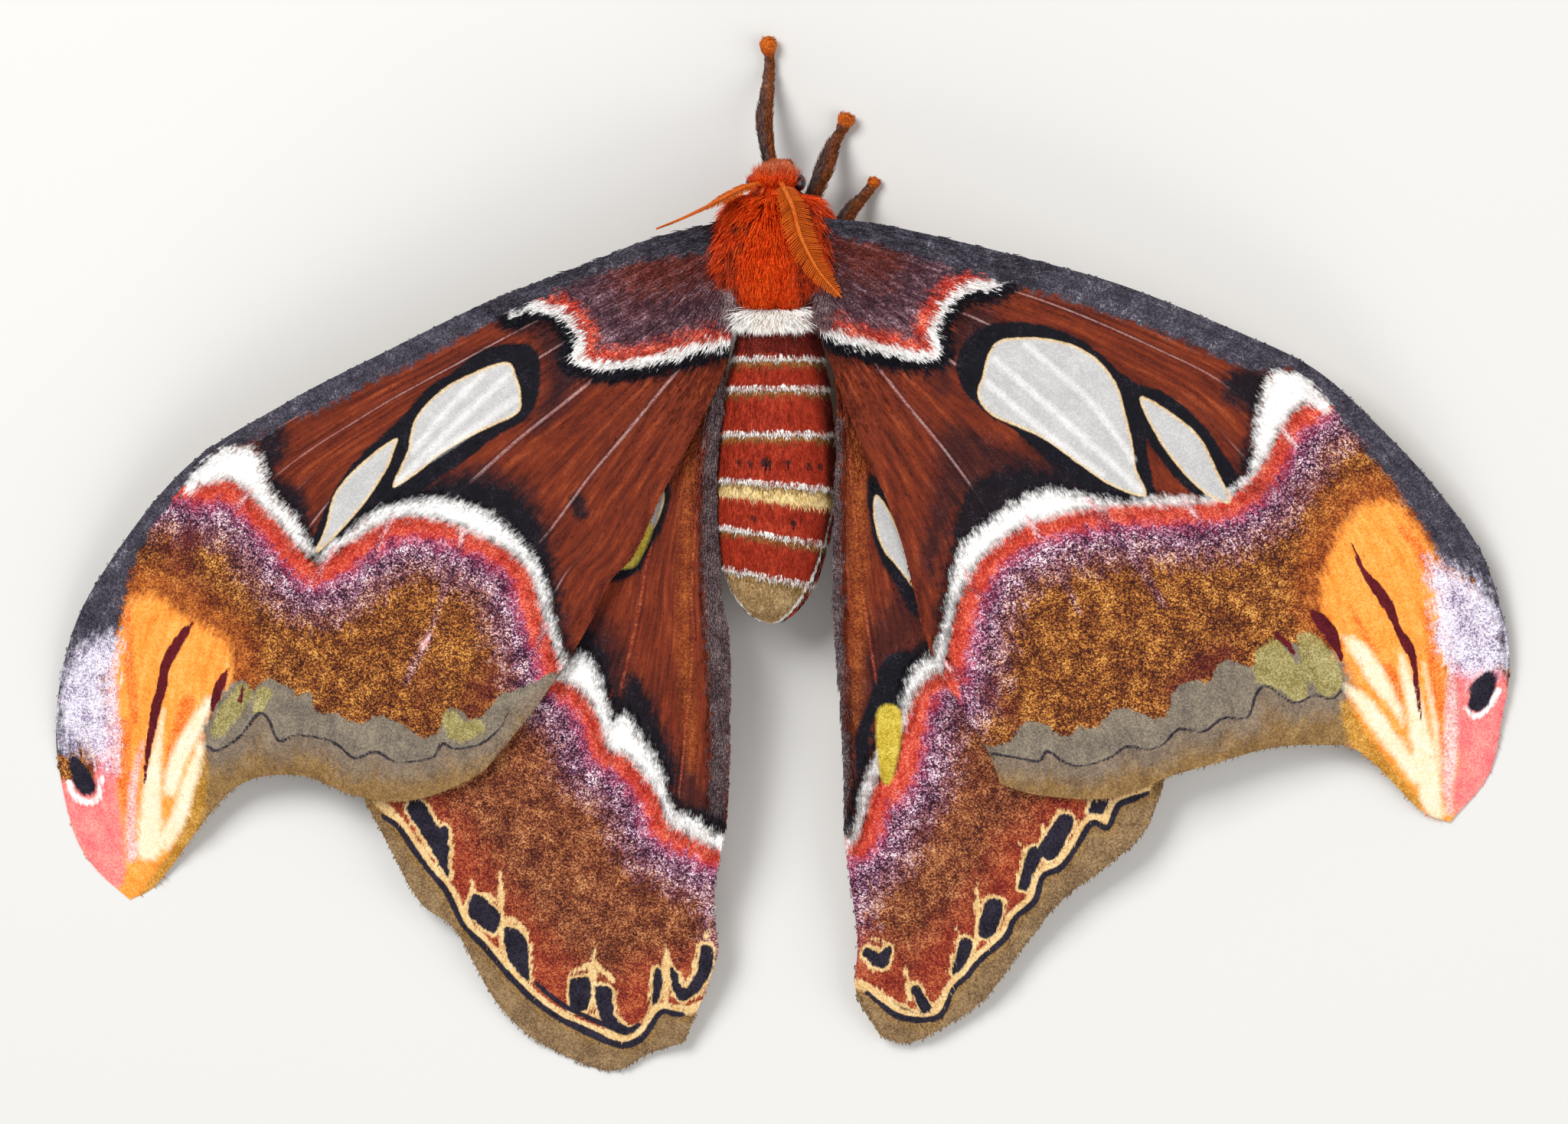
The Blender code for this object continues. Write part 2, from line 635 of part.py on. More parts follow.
def shoulder_locks(group, material):
    """Locks that fan out from the thorax over the root of each forewing, as loose objects."""
    dice = random.Random(SEED + 1)
    made = []
    for side in (-1, 1):
        for k in range(SHOULDER_COUNT):
            t = k / (SHOULDER_COUNT - 1)
            root = (1 - t) * Vector(SHOULDER_ROOTS[0]) + t * Vector(SHOULDER_ROOTS[1])
            tip = (1 - t) * Vector(SHOULDER_TIPS[0]) + t * Vector(SHOULDER_TIPS[1])
            tip += Vector([*(dice.uniform(-stray, stray) for stray in SHOULDER_STRAY), 0.0])
            inside = root - SHOULDER_BACK * (tip - root) - Vector((0, 0, SHOULDER_SUNK))
            middle = root.lerp(tip, SHOULDER_KNEE) + Vector((0, 0, SHOULDER_BULGE))
            path = np.array([(side * p.x, p.y, p.z) for p in (inside, root, middle, tip)])
            across = np.cross(path[3] - path[1], (0, 0, 1.0))
            widths = [share * SHOULDER_WIDTH for share in SHOULDER_WIDTHS]
            verts, faces = spike(path, np.array([across] * 4), widths, BREAST_LOCKS["thick"])
            made.append(make_object(f"shoulder_{side}_{k}", verts, faces, group, material))
    return made


def make_feeler(name, points, up, group, material):
    """A feeler: a thin shaft with a row of rays down each side, fused into one."""
    path = smooth_path(points, np.linspace(0, 1, FEELER_STEPS))
    ahead = frames(path)
    angle = np.arange(FEELER_SIDES) * 2 * math.pi / FEELER_SIDES
    rings = []
    for k, (spot, along) in enumerate(zip(path, ahead)):
        side = np.cross(along, up)
        side /= np.linalg.norm(side)
        over = np.cross(side, along)
        radius = np.interp(k / (FEELER_STEPS - 1), [0, 0.5, 1], FEELER_RADIUS)
        ring = spot + radius * (np.cos(angle)[:, None] * side + np.sin(angle)[:, None] * over)
        rings.append(place(*ring.T))
    item = make_object(name, *loft(rings), group, material)
    rays = []
    for k in range(COMB_RAYS):
        s = COMB_START + (COMB_END - COMB_START) * k / (COMB_RAYS - 1)
        spot = smooth_path(points, [s, min(s + 0.02, 1.0)])
        along = (spot[1] - spot[0]) / np.linalg.norm(spot[1] - spot[0])
        side = np.cross(along, up)
        side /= np.linalg.norm(side)
        reach = np.interp(s, COMB_PLACES, COMB_REACH)
        for hand in (-1, 1):
            out, lean = hand * reach * side, COMB_LEAN * reach * along
            ray = [spot[0] - hand * RAY_SUNK * side,
                   spot[0] + RAY_KNEE[0] * out + RAY_KNEE[1] * lean, spot[0] + out + lean]
            verts, faces = spike(np.array(ray), np.array([along] * 3),
                                 [RAY_WIDTH, RAY_TAPER * RAY_WIDTH], RAY_THICK)
            rays.append(make_object(f"{name}_ray_{k}_{hand}", verts, faces, group, material))
    fuse(name, item, rays, "MANIFOLD")
    round_shading(item)
    return item


def feeler_room(name, points, up, group, material):
    """The leaf-shaped space that a feeler takes up, with the gap that its neighbours keep."""
    path = smooth_path(points, np.linspace(0, 1, FEELER_STEPS))
    path[-1] += GAP * (path[-1] - path[-2]) / np.linalg.norm(path[-1] - path[-2])
    ahead = frames(path)
    across = np.cross(ahead, up)
    across /= np.linalg.norm(across, axis=1, keepdims=True)
    normal = np.cross(across, ahead)
    half = GAP + np.interp(np.linspace(0, 1, len(path)), COMB_PLACES, COMB_REACH) * COMB_ROOM
    lanes = np.linspace(-1, 1, 3)[:, None, None]
    middle = path[None] + lanes * half[None, :, None] * across[None]
    thick = (GAP + max(FEELER_RADIUS)) * normal[None]
    top, bottom = middle + thick, middle - thick
    return make_object(name, *plate(place(*np.moveaxis(top, -1, 0)),
                                    place(*np.moveaxis(bottom, -1, 0))), group, material)


def build():
    clear_scene()
    parts = new_collection(OBJECT_NAME)
    helpers = new_collection("cutters")
    paint = {name: new_material(name) for name in COLOURS}

    fur, rooms = paint["fur_orange"], []
    thorax = make_body("thorax", THORAX_SECTIONS, BODY_SIDES, parts, fur)
    hair = add_locks("thorax", THORAX_SECTIONS, BREAST_LOCKS, parts, fur)
    fuse("thorax", thorax, hair + shoulder_locks(parts, fur), "MANIFOLD")
    abdomen = make_body("abdomen", ringed(ABDOMEN_SECTIONS), BODY_SIDES, parts,
                        paint["abdomen_red"])
    fuse("abdomen", abdomen, add_locks("collar", ABDOMEN_SECTIONS, COLLAR_LOCKS, parts, fur),
         "MANIFOLD")
    wings = (
        ("forewing_right", FORE_RIGHT, FORE_ABOVE, FORE_VEINS, FORE_ROWS),
        ("forewing_left", FORE_LEFT, FORE_ABOVE, FORE_VEINS, FORE_ROWS),
        ("hindwing_right", HIND_RIGHT, -HIND_BELOW, HIND_VEINS, HIND_ROWS),
        ("hindwing_left", HIND_LEFT, -HIND_BELOW, HIND_VEINS, HIND_ROWS),
    )
    for name, edges, above, veins, rows in wings:
        make_wing(name, edges, above, veins, rows, parts, paint["wing_rust"])
        rooms.append(wing_room("room_" + name, edges, above, rows, parts, paint["wing_rust"]))

    head = make_body("head", HEAD_SECTIONS, HEAD_SIDES, parts, fur)
    fuse("head", head, add_locks("brow", HEAD_SECTIONS, BROW_LOCKS, parts, fur), "MANIFOLD")
    x, y, z = EYE_PLACE
    for side, word in ((-1, "left"), (1, "right")):
        make_ball("eye_" + word, (side * x, y, z), EYE_RADIUS, parts, paint["eye_black"])
        socket = make_ball("socket_" + word, (side * x, y, z), EYE_RADIUS + GAP, parts,
                           paint["eye_black"])
        cut(head, socket, helpers, "MANIFOLD")
        palp = [(side * px, py, pz, radius) for px, py, pz, radius in PALP]
        make_leg("palp_" + word, palp, parts, fur)
        cut(head, make_leg("room_palp_" + word, palp, parts, fur, GAP), helpers, "MANIFOLD")

    for name, points, up in (("antenna_right", FEELER_RIGHT, FEELER_RIGHT_UP),
                             ("antenna_left", FEELER_LEFT, FEELER_LEFT_UP)):
        make_feeler(name, points, up, parts, paint["feeler_orange"])
        rooms.append(feeler_room("room_" + name, points, up, parts, paint["feeler_orange"]))
        cut(head, rooms[-1], helpers, "MANIFOLD")
    for name, points in LEGS.items():
        make_leg(name, points, parts, paint["leg_brown"])
        rooms.append(make_leg("room_" + name, points, parts, paint["leg_brown"], GAP))
    for room in rooms:
        cut(thorax, room, helpers, "MANIFOLD")
    for item in (thorax, head):
        apply_modifiers(item)
    for item in (thorax, head, abdomen):
        round_shading(item)


build()
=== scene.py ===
"""The looks of an atlas moth at rest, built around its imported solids.

Lengths inside the classes are millimetres. The drawing that the wing outlines and markings come
from is in tenths of a millimetre, x to the moth's right and y towards its tail, with the middle
of the thorax at (1015, 330). Meshes are brought to metres, in the frame of the solids, last.
"""

import logging
import math
from dataclasses import dataclass, field
from enum import Enum
from typing import Sequence

import bpy
import numpy as np
from mathutils import Matrix, Vector


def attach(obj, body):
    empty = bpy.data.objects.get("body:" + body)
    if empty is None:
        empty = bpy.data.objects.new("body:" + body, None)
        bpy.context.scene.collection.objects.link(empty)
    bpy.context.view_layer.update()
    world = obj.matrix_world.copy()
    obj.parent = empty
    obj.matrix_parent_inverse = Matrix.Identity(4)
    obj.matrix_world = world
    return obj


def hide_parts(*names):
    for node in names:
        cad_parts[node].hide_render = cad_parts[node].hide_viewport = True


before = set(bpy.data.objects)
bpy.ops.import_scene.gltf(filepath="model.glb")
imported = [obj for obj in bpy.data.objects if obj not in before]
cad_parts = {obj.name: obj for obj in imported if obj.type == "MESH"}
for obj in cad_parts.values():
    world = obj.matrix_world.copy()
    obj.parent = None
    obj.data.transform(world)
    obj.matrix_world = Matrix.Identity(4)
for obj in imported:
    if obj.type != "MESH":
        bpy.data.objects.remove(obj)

LOG = logging.getLogger("atlas_moth")
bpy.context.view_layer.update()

MM = 0.001
THORAX = (3.82, 39.46, 12.0)
DRAWN_AT = (1015.0, 330.0)
DRAWN_STEP = 10.0
SEEN_ROLL = math.radians(12.0)
SEEN_FROM = 900.0
SEEN_MIDDLE = (0.9, -40.4)
FRAME_WIDTH = 204.8
SENSOR = 36.0

WING_CROWN = 15.4
WING_DOME = 0.00111
WING_LEAN = 0.0117
ROW_POWER = 0.85
BAKE_MAP = "OFBake"

Array = np.ndarray
Colour = tuple[float, float, float]
Points = Sequence[Sequence[float]] | Array
Material = bpy.types.Material
Node = bpy.types.Node
Socket = bpy.types.NodeSocket


def rgb(red: int, green: int, blue: int) -> Colour:
    """A colour written as 0 to 255 per channel, as the linear values that shaders take.

    Each channel c/255 is raised by the usual display curve: ((c + 0.055) / 1.055) ** 2.4.
    """
    parts = [v / 255 for v in (red, green, blue)]
    return tuple(v / 12.92 if v < 0.04045 else ((v + 0.055) / 1.055) ** 2.4 for v in parts)


def to_frame(points: Array) -> Array:
    """Points from the thorax's middle along x and y, height from the floor, as metres."""
    return (points + np.array([THORAX[0], THORAX[1], 0.0])) * MM


def unit(vectors: Array) -> Array:
    """Vectors scaled to length one, v / |v|."""
    return vectors / np.maximum(np.linalg.norm(vectors, axis=-1, keepdims=True), 1e-9)


def smooth_curve(points: Points, closed: bool, steps: int = 6) -> Array:
    """A smooth line through points, a cubic whose tangent at each is half its neighbours' gap.

    Args:
        points: The points to pass through.
        closed: Whether the last one joins the first.
        steps: Pieces between two points.

    Returns:
        The points of the line, one row each.
    """
    p = np.array(points, float)
    if closed:
        a, b, c, d = np.roll(p, 1, 0), p, np.roll(p, -1, 0), np.roll(p, -2, 0)
    else:
        ends = np.vstack([2 * p[0] - p[1], p, 2 * p[-1] - p[-2]])
        a, b, c, d = ends[:-3], ends[1:-2], ends[2:-1], ends[3:]
    t = np.linspace(0, 1, steps, endpoint=False)[None, :, None]
    a, b, c, d = (k[:, None, :] for k in (a, b, c, d))
    fine = 0.5 * (2 * b + (c - a) * t + (2 * a - 5 * b + 4 * c - d) * t**2
                  + (3 * b - a - 3 * c + d) * t**3)
    fine = fine.reshape(-1, p.shape[1])
    return fine if closed else np.vstack([fine, p[-1:]])


def along_path(points: Points, places: Array) -> Array:
    """Points at places from 0 to 1 of a smooth line's length, joined by straight steps."""
    fine = smooth_curve(points, False, 24)
    gaps = np.linalg.norm(np.diff(fine, axis=0), axis=1)
    length = np.concatenate([[0], np.cumsum(gaps)])
    wanted = length[-1] * np.asarray(places)
    return np.stack([np.interp(wanted, length, column) for column in fine.T], axis=1)


def pairs(*numbers: float) -> Array:
    """Points written as x and y in turn."""
    return np.reshape(numbers, (-1, 2))


def pen_path(numbers: Sequence[float], columns: int) -> Array:
    """A drawn line, written as its first point and then the step to each next one.

    Args:
        numbers: x and y of each step in turn, each with a half width where there are 3 columns.
        columns: Numbers to a point.

    Returns:
        One row to a point, with x and y the sums of the steps up to there.
    """
    rows = np.reshape(np.array(numbers, float), (-1, columns))
    rows[:, :2] = np.cumsum(rows[:, :2], axis=0)
    return rows


@dataclass(frozen=True)
class Area:
    """A closed region of the drawing, positive inside, by the distance to its smooth outline."""

    points: Points

    def reach(self, x: Array, y: Array) -> Array:
        """Signed distance in drawing units, positive where a ray crosses the edge an odd number
        of times.

        Args:
            x: Drawing x of each point.
            y: Drawing y of each point.

        Returns:
            The distance of each point.
        """
        line = smooth_curve(self.points, True)
        best = np.full(x.shape, 1e9)
        inside = np.zeros(x.shape, bool)
        for (ax, ay), (bx, by) in zip(line, np.roll(line, -1, 0)):
            dx, dy = bx - ax, by - ay
            t = np.clip(((x - ax) * dx + (y - ay) * dy) / (dx * dx + dy * dy + 1e-9), 0, 1)
            best = np.minimum(best, (x - ax - t * dx) ** 2 + (y - ay - t * dy) ** 2)
            if ay != by:
                inside ^= ((ay > y) != (by > y)) & (x < ax + (y - ay) * dx / dy)
        best = np.sqrt(best)
        return np.where(inside, best, -best)


@dataclass(frozen=True)
class Stroke:
    """Lines of the drawing with a half width at each point, positive within the width."""

    lines: Sequence[Points]

    def reach(self, x: Array, y: Array) -> Array:
        """Half width less distance, the largest over all the pieces of all the lines.

        Args:
            x: Drawing x of each point.
            y: Drawing y of each point.

        Returns:
            The value at each point, in drawing units.
        """
        best = np.full(x.shape, -1e9)
        for points in self.lines:
            line = smooth_curve(points, False, 5)
            for (ax, ay, aw), (bx, by, bw) in zip(line[:-1], line[1:]):
                dx, dy = bx - ax, by - ay
                t = np.clip(((x - ax) * dx + (y - ay) * dy) / (dx * dx + dy * dy + 1e-9), 0, 1)
                away = np.hypot(x - ax - t * dx, y - ay - t * dy)
                best = np.maximum(best, aw + (bw - aw) * t - away)
        return best


@dataclass(frozen=True)
class Either:
    """Two or more shapes taken together: the largest of their values."""

    shapes: Sequence["Area | Stroke"]

    def reach(self, x: Array, y: Array) -> Array:
        """The largest of the shapes' values at each point."""
        return np.max([shape.reach(x, y) for shape in self.shapes], axis=0)


Shape = Area | Stroke | Either


def areas(*outlines: Sequence[float]) -> Area | Either:
    """One or more closed regions, from the steps of their outlines."""
    made = [Area(pen_path(steps, 2)) for steps in outlines]
    return Either(made) if len(made) > 1 else made[0]


def stroke(*lines: Sequence[float]) -> Stroke:
    """Lines from their steps and half widths."""
    return Stroke([pen_path(line, 3) for line in lines])


class Graph:
    """Adds nodes to one shader tree and joins them."""

    def __init__(self, tree: bpy.types.NodeTree) -> None:
        """Takes the tree to work on."""
        self.tree = tree

    def add(self, kind: str, **values: object) -> Node:
        """A new node of this kind with its settings."""
        node = self.tree.nodes.new(kind)
        for name, value in values.items():
            setattr(node, name, value)
        return node

    def feed(self, socket: Socket, source: object) -> None:
        """Joins a socket to an output, or sets its own value."""
        if isinstance(source, Socket):
            self.tree.links.new(source, socket)
        elif isinstance(source, tuple) and len(source) == 3 and socket.type == "RGBA":
            socket.default_value = (*source, 1.0)
        else:
            socket.default_value = source

    def math(self, kind: str, a: object, b: object = 0.0, c: object = 0.0,
             clamp: bool = False) -> Socket:
        """The result of one sum on up to three values."""
        node = self.add("ShaderNodeMath", operation=kind, use_clamp=clamp)
        for socket, source in zip(node.inputs, (a, b, c)):
            self.feed(socket, source)
        return node.outputs[0]

    def mix(self, share: object, a: object, b: object) -> Socket:
        """Colour a changed towards colour b by a share."""
        node = self.add("ShaderNodeMix", data_type="RGBA")
        for index, source in ((0, share), (6, a), (7, b)):
            self.feed(node.inputs[index], source)
        return node.outputs[2]

    def noise(self, vector: object, scale: float, detail: float = 2.0,
              rough: float = 0.5) -> Socket:
        """Smooth noise around 0.5."""
        node = self.add("ShaderNodeTexNoise")
        self.feed(node.inputs["Vector"], vector)
        node.inputs["Scale"].default_value = scale
        node.inputs["Detail"].default_value = detail
        node.inputs["Roughness"].default_value = rough
        return node.outputs["Fac"]

    def cells(self, vector: object, scale: float) -> Socket:
        """A random value from 0 to 1 for each small cell of space."""
        node = self.add("ShaderNodeTexVoronoi", feature="F1")
        self.feed(node.inputs["Vector"], vector)
        node.inputs["Scale"].default_value = scale
        split = self.add("ShaderNodeSeparateColor")
        self.feed(split.inputs[0], node.outputs["Color"])
        return split.outputs[0]

    def ramp(self, source: object, stops: Sequence[tuple[float, Colour]]) -> Socket:
        """A colour read from stops by a value."""
        node = self.add("ShaderNodeValToRGB")
        self.feed(node.inputs[0], source)
        band = node.color_ramp
        while len(band.elements) > 1:
            band.elements.remove(band.elements[0])
        band.elements[0].position = stops[0][0]
        band.elements[0].color = (*stops[0][1], 1.0)
        for place, colour in stops[1:]:
            band.elements.new(place).color = (*colour, 1.0)
        return node.outputs[0]

    def attribute(self, name: str) -> Node:
        """A node that reads a value stored on the mesh."""
        return self.add("ShaderNodeAttribute", attribute_name=name)

    def group(self, tree: bpy.types.NodeTree, **sources: object) -> Node:
        """A shared effect, with its inputs fed by name."""
        node = self.add("ShaderNodeGroup", node_tree=tree)
        for name, source in sources.items():
            self.feed(node.inputs[name.replace("_", " ")], source)
        return node


class Effects:
    """The shared shader effects: ragged edges, scale grain and fine relief.

    The sizes of details are numbers to the metre, and along the lie numbers to its unit.
    """

    scales = 6000.0
    nap = 2200.0
    patches = 900.0
    clouds = 420.0
    hairs = 2.6
    streaks = 0.8

    def __init__(self) -> None:
        """Builds every group once."""
        self.edge = self._edge()
        self.grain = self._grain()
        self.relief = self._relief()

    @staticmethod
    def _group(name: str, inputs: Sequence[tuple[str, str]],
               outputs: Sequence[tuple[str, str]]) -> tuple[Graph, dict, Node]:
        """A new group with named sockets.

        Args:
            name: The group's name.
            inputs: Name and kind of each input.
            outputs: Name and kind of each output.

        Returns:
            Its graph, its inputs by name, and its output node.
        """
        tree = bpy.data.node_groups.new(name, "ShaderNodeTree")
        for label, kind in inputs:
            tree.interface.new_socket(label, in_out="INPUT", socket_type=kind)
        for label, kind in outputs:
            tree.interface.new_socket(label, in_out="OUTPUT", socket_type=kind)
        start = tree.nodes.new("NodeGroupInput")
        return Graph(tree), start.outputs, tree.nodes.new("NodeGroupOutput")

    def _edge(self) -> bpy.types.NodeTree:
        """A mask that is 1 where a field passes a start, with a soft edge that hairs break up."""
        real = "NodeSocketFloat"
        graph, given, end = self._group(
            "ragged_edge",
            [(n, real) for n in ("Field", "Fringe", "Start", "Soft", "Fuzz", "Amount")],
            [("Mask", real)])
        moved = graph.math("MULTIPLY_ADD", given["Fringe"], given["Fuzz"], given["Field"])
        past = graph.math("SUBTRACT", moved, given["Start"])
        share = graph.math("DIVIDE", past, given["Soft"])
        mask = graph.math("ADD", share, 0.5, clamp=True)
        graph.feed(end.inputs["Mask"], graph.math("MULTIPLY", mask, given["Amount"]))
        return graph.tree

    def _grain(self) -> bpy.types.NodeTree:
        """Fine scales: a random value for each, and a hair-like wobble that follows the lie."""
        graph, given, end = self._group(
            "scale_grain", [("Place", "NodeSocketVector"), ("Lie", "NodeSocketVector")],
            [("Grain", "NodeSocketFloat"), ("Fringe", "NodeSocketFloat"),
             ("Streak", "NodeSocketFloat")])
        fine = graph.cells(given["Place"], self.scales)
        broad = graph.noise(given["Place"], self.clouds, 3.0, 0.6)
        both = graph.math("MULTIPLY_ADD", fine, 0.58, graph.math("MULTIPLY", broad, 0.9))
        graph.feed(end.inputs["Grain"], graph.math("SUBTRACT", both, 0.24, clamp=True))
        hairs = graph.noise(given["Lie"], self.hairs, 2.0, 0.6)
        patches = graph.noise(given["Place"], self.patches, 2.0, 0.6)
        ragged = graph.math("ADD", hairs, patches)
        graph.feed(end.inputs["Fringe"], graph.math("MULTIPLY_ADD", ragged, 2.0, -2.0))
        graph.feed(end.inputs["Streak"], graph.noise(given["Lie"], self.streaks, 3.0, 0.65))
        return graph.tree

    def _relief(self) -> bpy.types.NodeTree:
        """Height of a scaly surface: small cells over a broader nap."""
        graph, given, end = self._group(
            "scale_relief", [("Place", "NodeSocketVector"), ("Grain", "NodeSocketFloat")],
            [("Height", "NodeSocketFloat")])
        nap = graph.noise(given["Place"], self.nap, 3.0, 0.7)
        graph.feed(end.inputs["Height"], graph.math("MULTIPLY_ADD", given["Grain"], 0.35, nap))
        return graph.tree


@dataclass(frozen=True)
class Paint:
    """A speckled colour: what each value of the grain shows, from the darkest scales up.

    Each row of the table is a value of the grain, and red, green and blue from 0 to 255.
    """

    table: Sequence[tuple[float, int, int, int]]

    @property
    def stops(self) -> list[tuple[float, Colour]]:
        """The rows with their colours as the shaders take them."""
        return [(value, rgb(*colour)) for value, *colour in self.table]


RUST = Paint(((0.0, 58, 16, 12), (0.35, 96, 35, 19), (0.65, 121, 47, 23), (1.0, 156, 74, 40)))
CHARCOAL = Paint(((0.15, 30, 28, 38), (0.5, 62, 58, 68), (0.75, 94, 90, 100), (0.95, 178, 176,
                  184)))
ROOT_PURPLE = Paint(((0.15, 30, 22, 32), (0.45, 64, 46, 56), (0.62, 112, 80, 88), (0.78, 166, 138,
                     148), (0.93, 232, 218, 224)))
WHITE = Paint(((0.1, 222, 214, 208), (0.4, 246, 242, 238), (0.8, 255, 253, 251)))
BLACK = Paint(((0.2, 9, 9, 16), (0.7, 20, 18, 26), (1.0, 56, 48, 58)))
VERMILION = Paint(((0.15, 148, 28, 24), (0.5, 198, 62, 44), (0.85, 240, 132, 104)))
LILAC = Paint(((0.22, 26, 16, 32), (0.4, 66, 34, 56), (0.55, 126, 74, 98), (0.7, 190, 146, 168),
               (0.84, 240, 226, 232)))
GOLD = Paint(((0.22, 50, 18, 16), (0.42, 92, 42, 20), (0.6, 140, 80, 26), (0.78, 196, 128, 44),
              (0.93, 228, 170, 84)))
OLIVE = Paint(((0.15, 90, 80, 74), (0.5, 122, 110, 96), (0.85, 154, 142, 120)))
LOBE = Paint(((0.15, 120, 106, 56), (0.5, 152, 138, 78), (0.85, 190, 178, 126)))
BEIGE = Paint(((0.15, 92, 76, 66), (0.5, 124, 106, 88), (0.85, 154, 134, 112)))
OCHRE = Paint(((0.15, 98, 68, 30), (0.5, 136, 100, 48), (0.85, 172, 134, 74)))
INK = Paint(((0.2, 18, 16, 26), (0.9, 52, 46, 60)))
ORANGE = Paint(((0.1, 232, 112, 30), (0.5, 252, 154, 60), (0.9, 255, 190, 108)))
BURNT = Paint(((0.2, 96, 36, 16), (0.5, 150, 72, 28), (0.85, 200, 116, 50)))
CREAM = Paint(((0.1, 236, 208, 164), (0.5, 246, 228, 192), (0.9, 253, 243, 226)))
MAROON = Paint(((0.2, 70, 10, 22), (0.8, 104, 26, 32)))
ROSE = Paint(((0.1, 222, 80, 100), (0.5, 242, 124, 122), (0.9, 250, 168, 154)))
FROST = Paint(((0.18, 122, 108, 134), (0.42, 206, 194, 216), (0.75, 250, 244, 250)))
GLASSY = Paint(((0.1, 170, 168, 168), (0.5, 188, 186, 184), (0.9, 208, 206, 203)))
CRIMSON = Paint(((0.2, 104, 26, 24), (0.5, 146, 50, 34), (0.8, 190, 98, 56)))
HAIRY_GREY = Paint(((0.2, 58, 44, 50), (0.5, 98, 82, 84), (0.85, 150, 134, 134)))
STRAW = Paint(((0.15, 196, 150, 92), (0.5, 228, 190, 128), (0.9, 246, 220, 170)))
MAGENTA = Paint(((0.2, 84, 20, 52), (0.5, 156, 52, 90), (0.85, 214, 128, 160)))
BLUSH = Paint(((0.2, 214, 130, 130), (0.5, 236, 184, 180), (0.85, 250, 226, 222)))
EMBER = Paint(((0.2, 206, 84, 20), (0.5, 238, 120, 44), (0.85, 250, 158, 84)))
AMBER = Paint(((0.15, 146, 98, 30), (0.5, 182, 130, 46), (0.85, 220, 170, 90)))
COPPER = Paint(((0.2, 54, 20, 18), (0.42, 98, 44, 26), (0.6, 136, 74, 40), (0.8, 182, 116, 64),
                (0.95, 214, 158, 100)))
LIME = Paint(((0.15, 160, 132, 30), (0.5, 200, 174, 56), (0.9, 222, 202, 104)))
UNDERSIDE_TAN = rgb(196, 140, 96)


@dataclass(frozen=True)
class Layer:
    """One coat of paint over those before it, where the field of a mark passes a start.

    The edge is soft millimetres wide and is broken up by fuzz. A streaky coat is shaded by long
    hairs more than by grain.
    """

    mark: str
    paint: Paint
    start: float = 0.0
    soft: float = 0.3
    fuzz: float = 0.5
    amount: float = 1.0
    streaky: float = 0.0


def coats(*rows: tuple[object, ...]) -> tuple[Layer, ...]:
    """Layers from rows of mark, paint, start, soft, fuzz, amount and streaky, first laid first."""
    return tuple(Layer(*row) for row in rows)


class Gloss(Enum):
    """How matt each kind of surface is."""

    SCALES = 0.72
    WINDOW = 0.32
    HAIR = 0.62


def make_material(name: str) -> tuple[Material, Graph, Node]:
    """A new material with its graph and its main shader."""
    material = bpy.data.materials.new(name)
    material.use_nodes = True
    return material, Graph(material.node_tree), material.node_tree.nodes["Principled BSDF"]


def pack_marks(fields: dict[str, Array]) -> dict[str, Array]:
    """The fields in order of name, three to a vector value, as lists of points."""
    names = sorted(fields)
    packed = {}
    for first in range(0, len(names), 3):
        three = [fields[name].ravel() for name in names[first:first + 3]]
        three += [np.zeros(len(three[0]))] * (3 - len(three))
        packed[f"marks_{first // 3}"] = np.stack(three, 1)
    return packed


def finish_values(marks: dict[str, Array], lie: Array,
                  hair: float | None = None) -> dict[str, Array]:
    """What a finish reads at each point of a piece.

    Args:
        marks: The value of each mark.
        lie: Coordinates that run along the hairs.
        hair: Strength of painted root shade and tip light on a hair, or None for a skin.

    Returns:
        The values by their name on the mesh.
    """
    values = {**pack_marks(marks), "lie": lie}
    if hair is not None:
        values["hair"] = np.full(len(lie), hair)
    return values


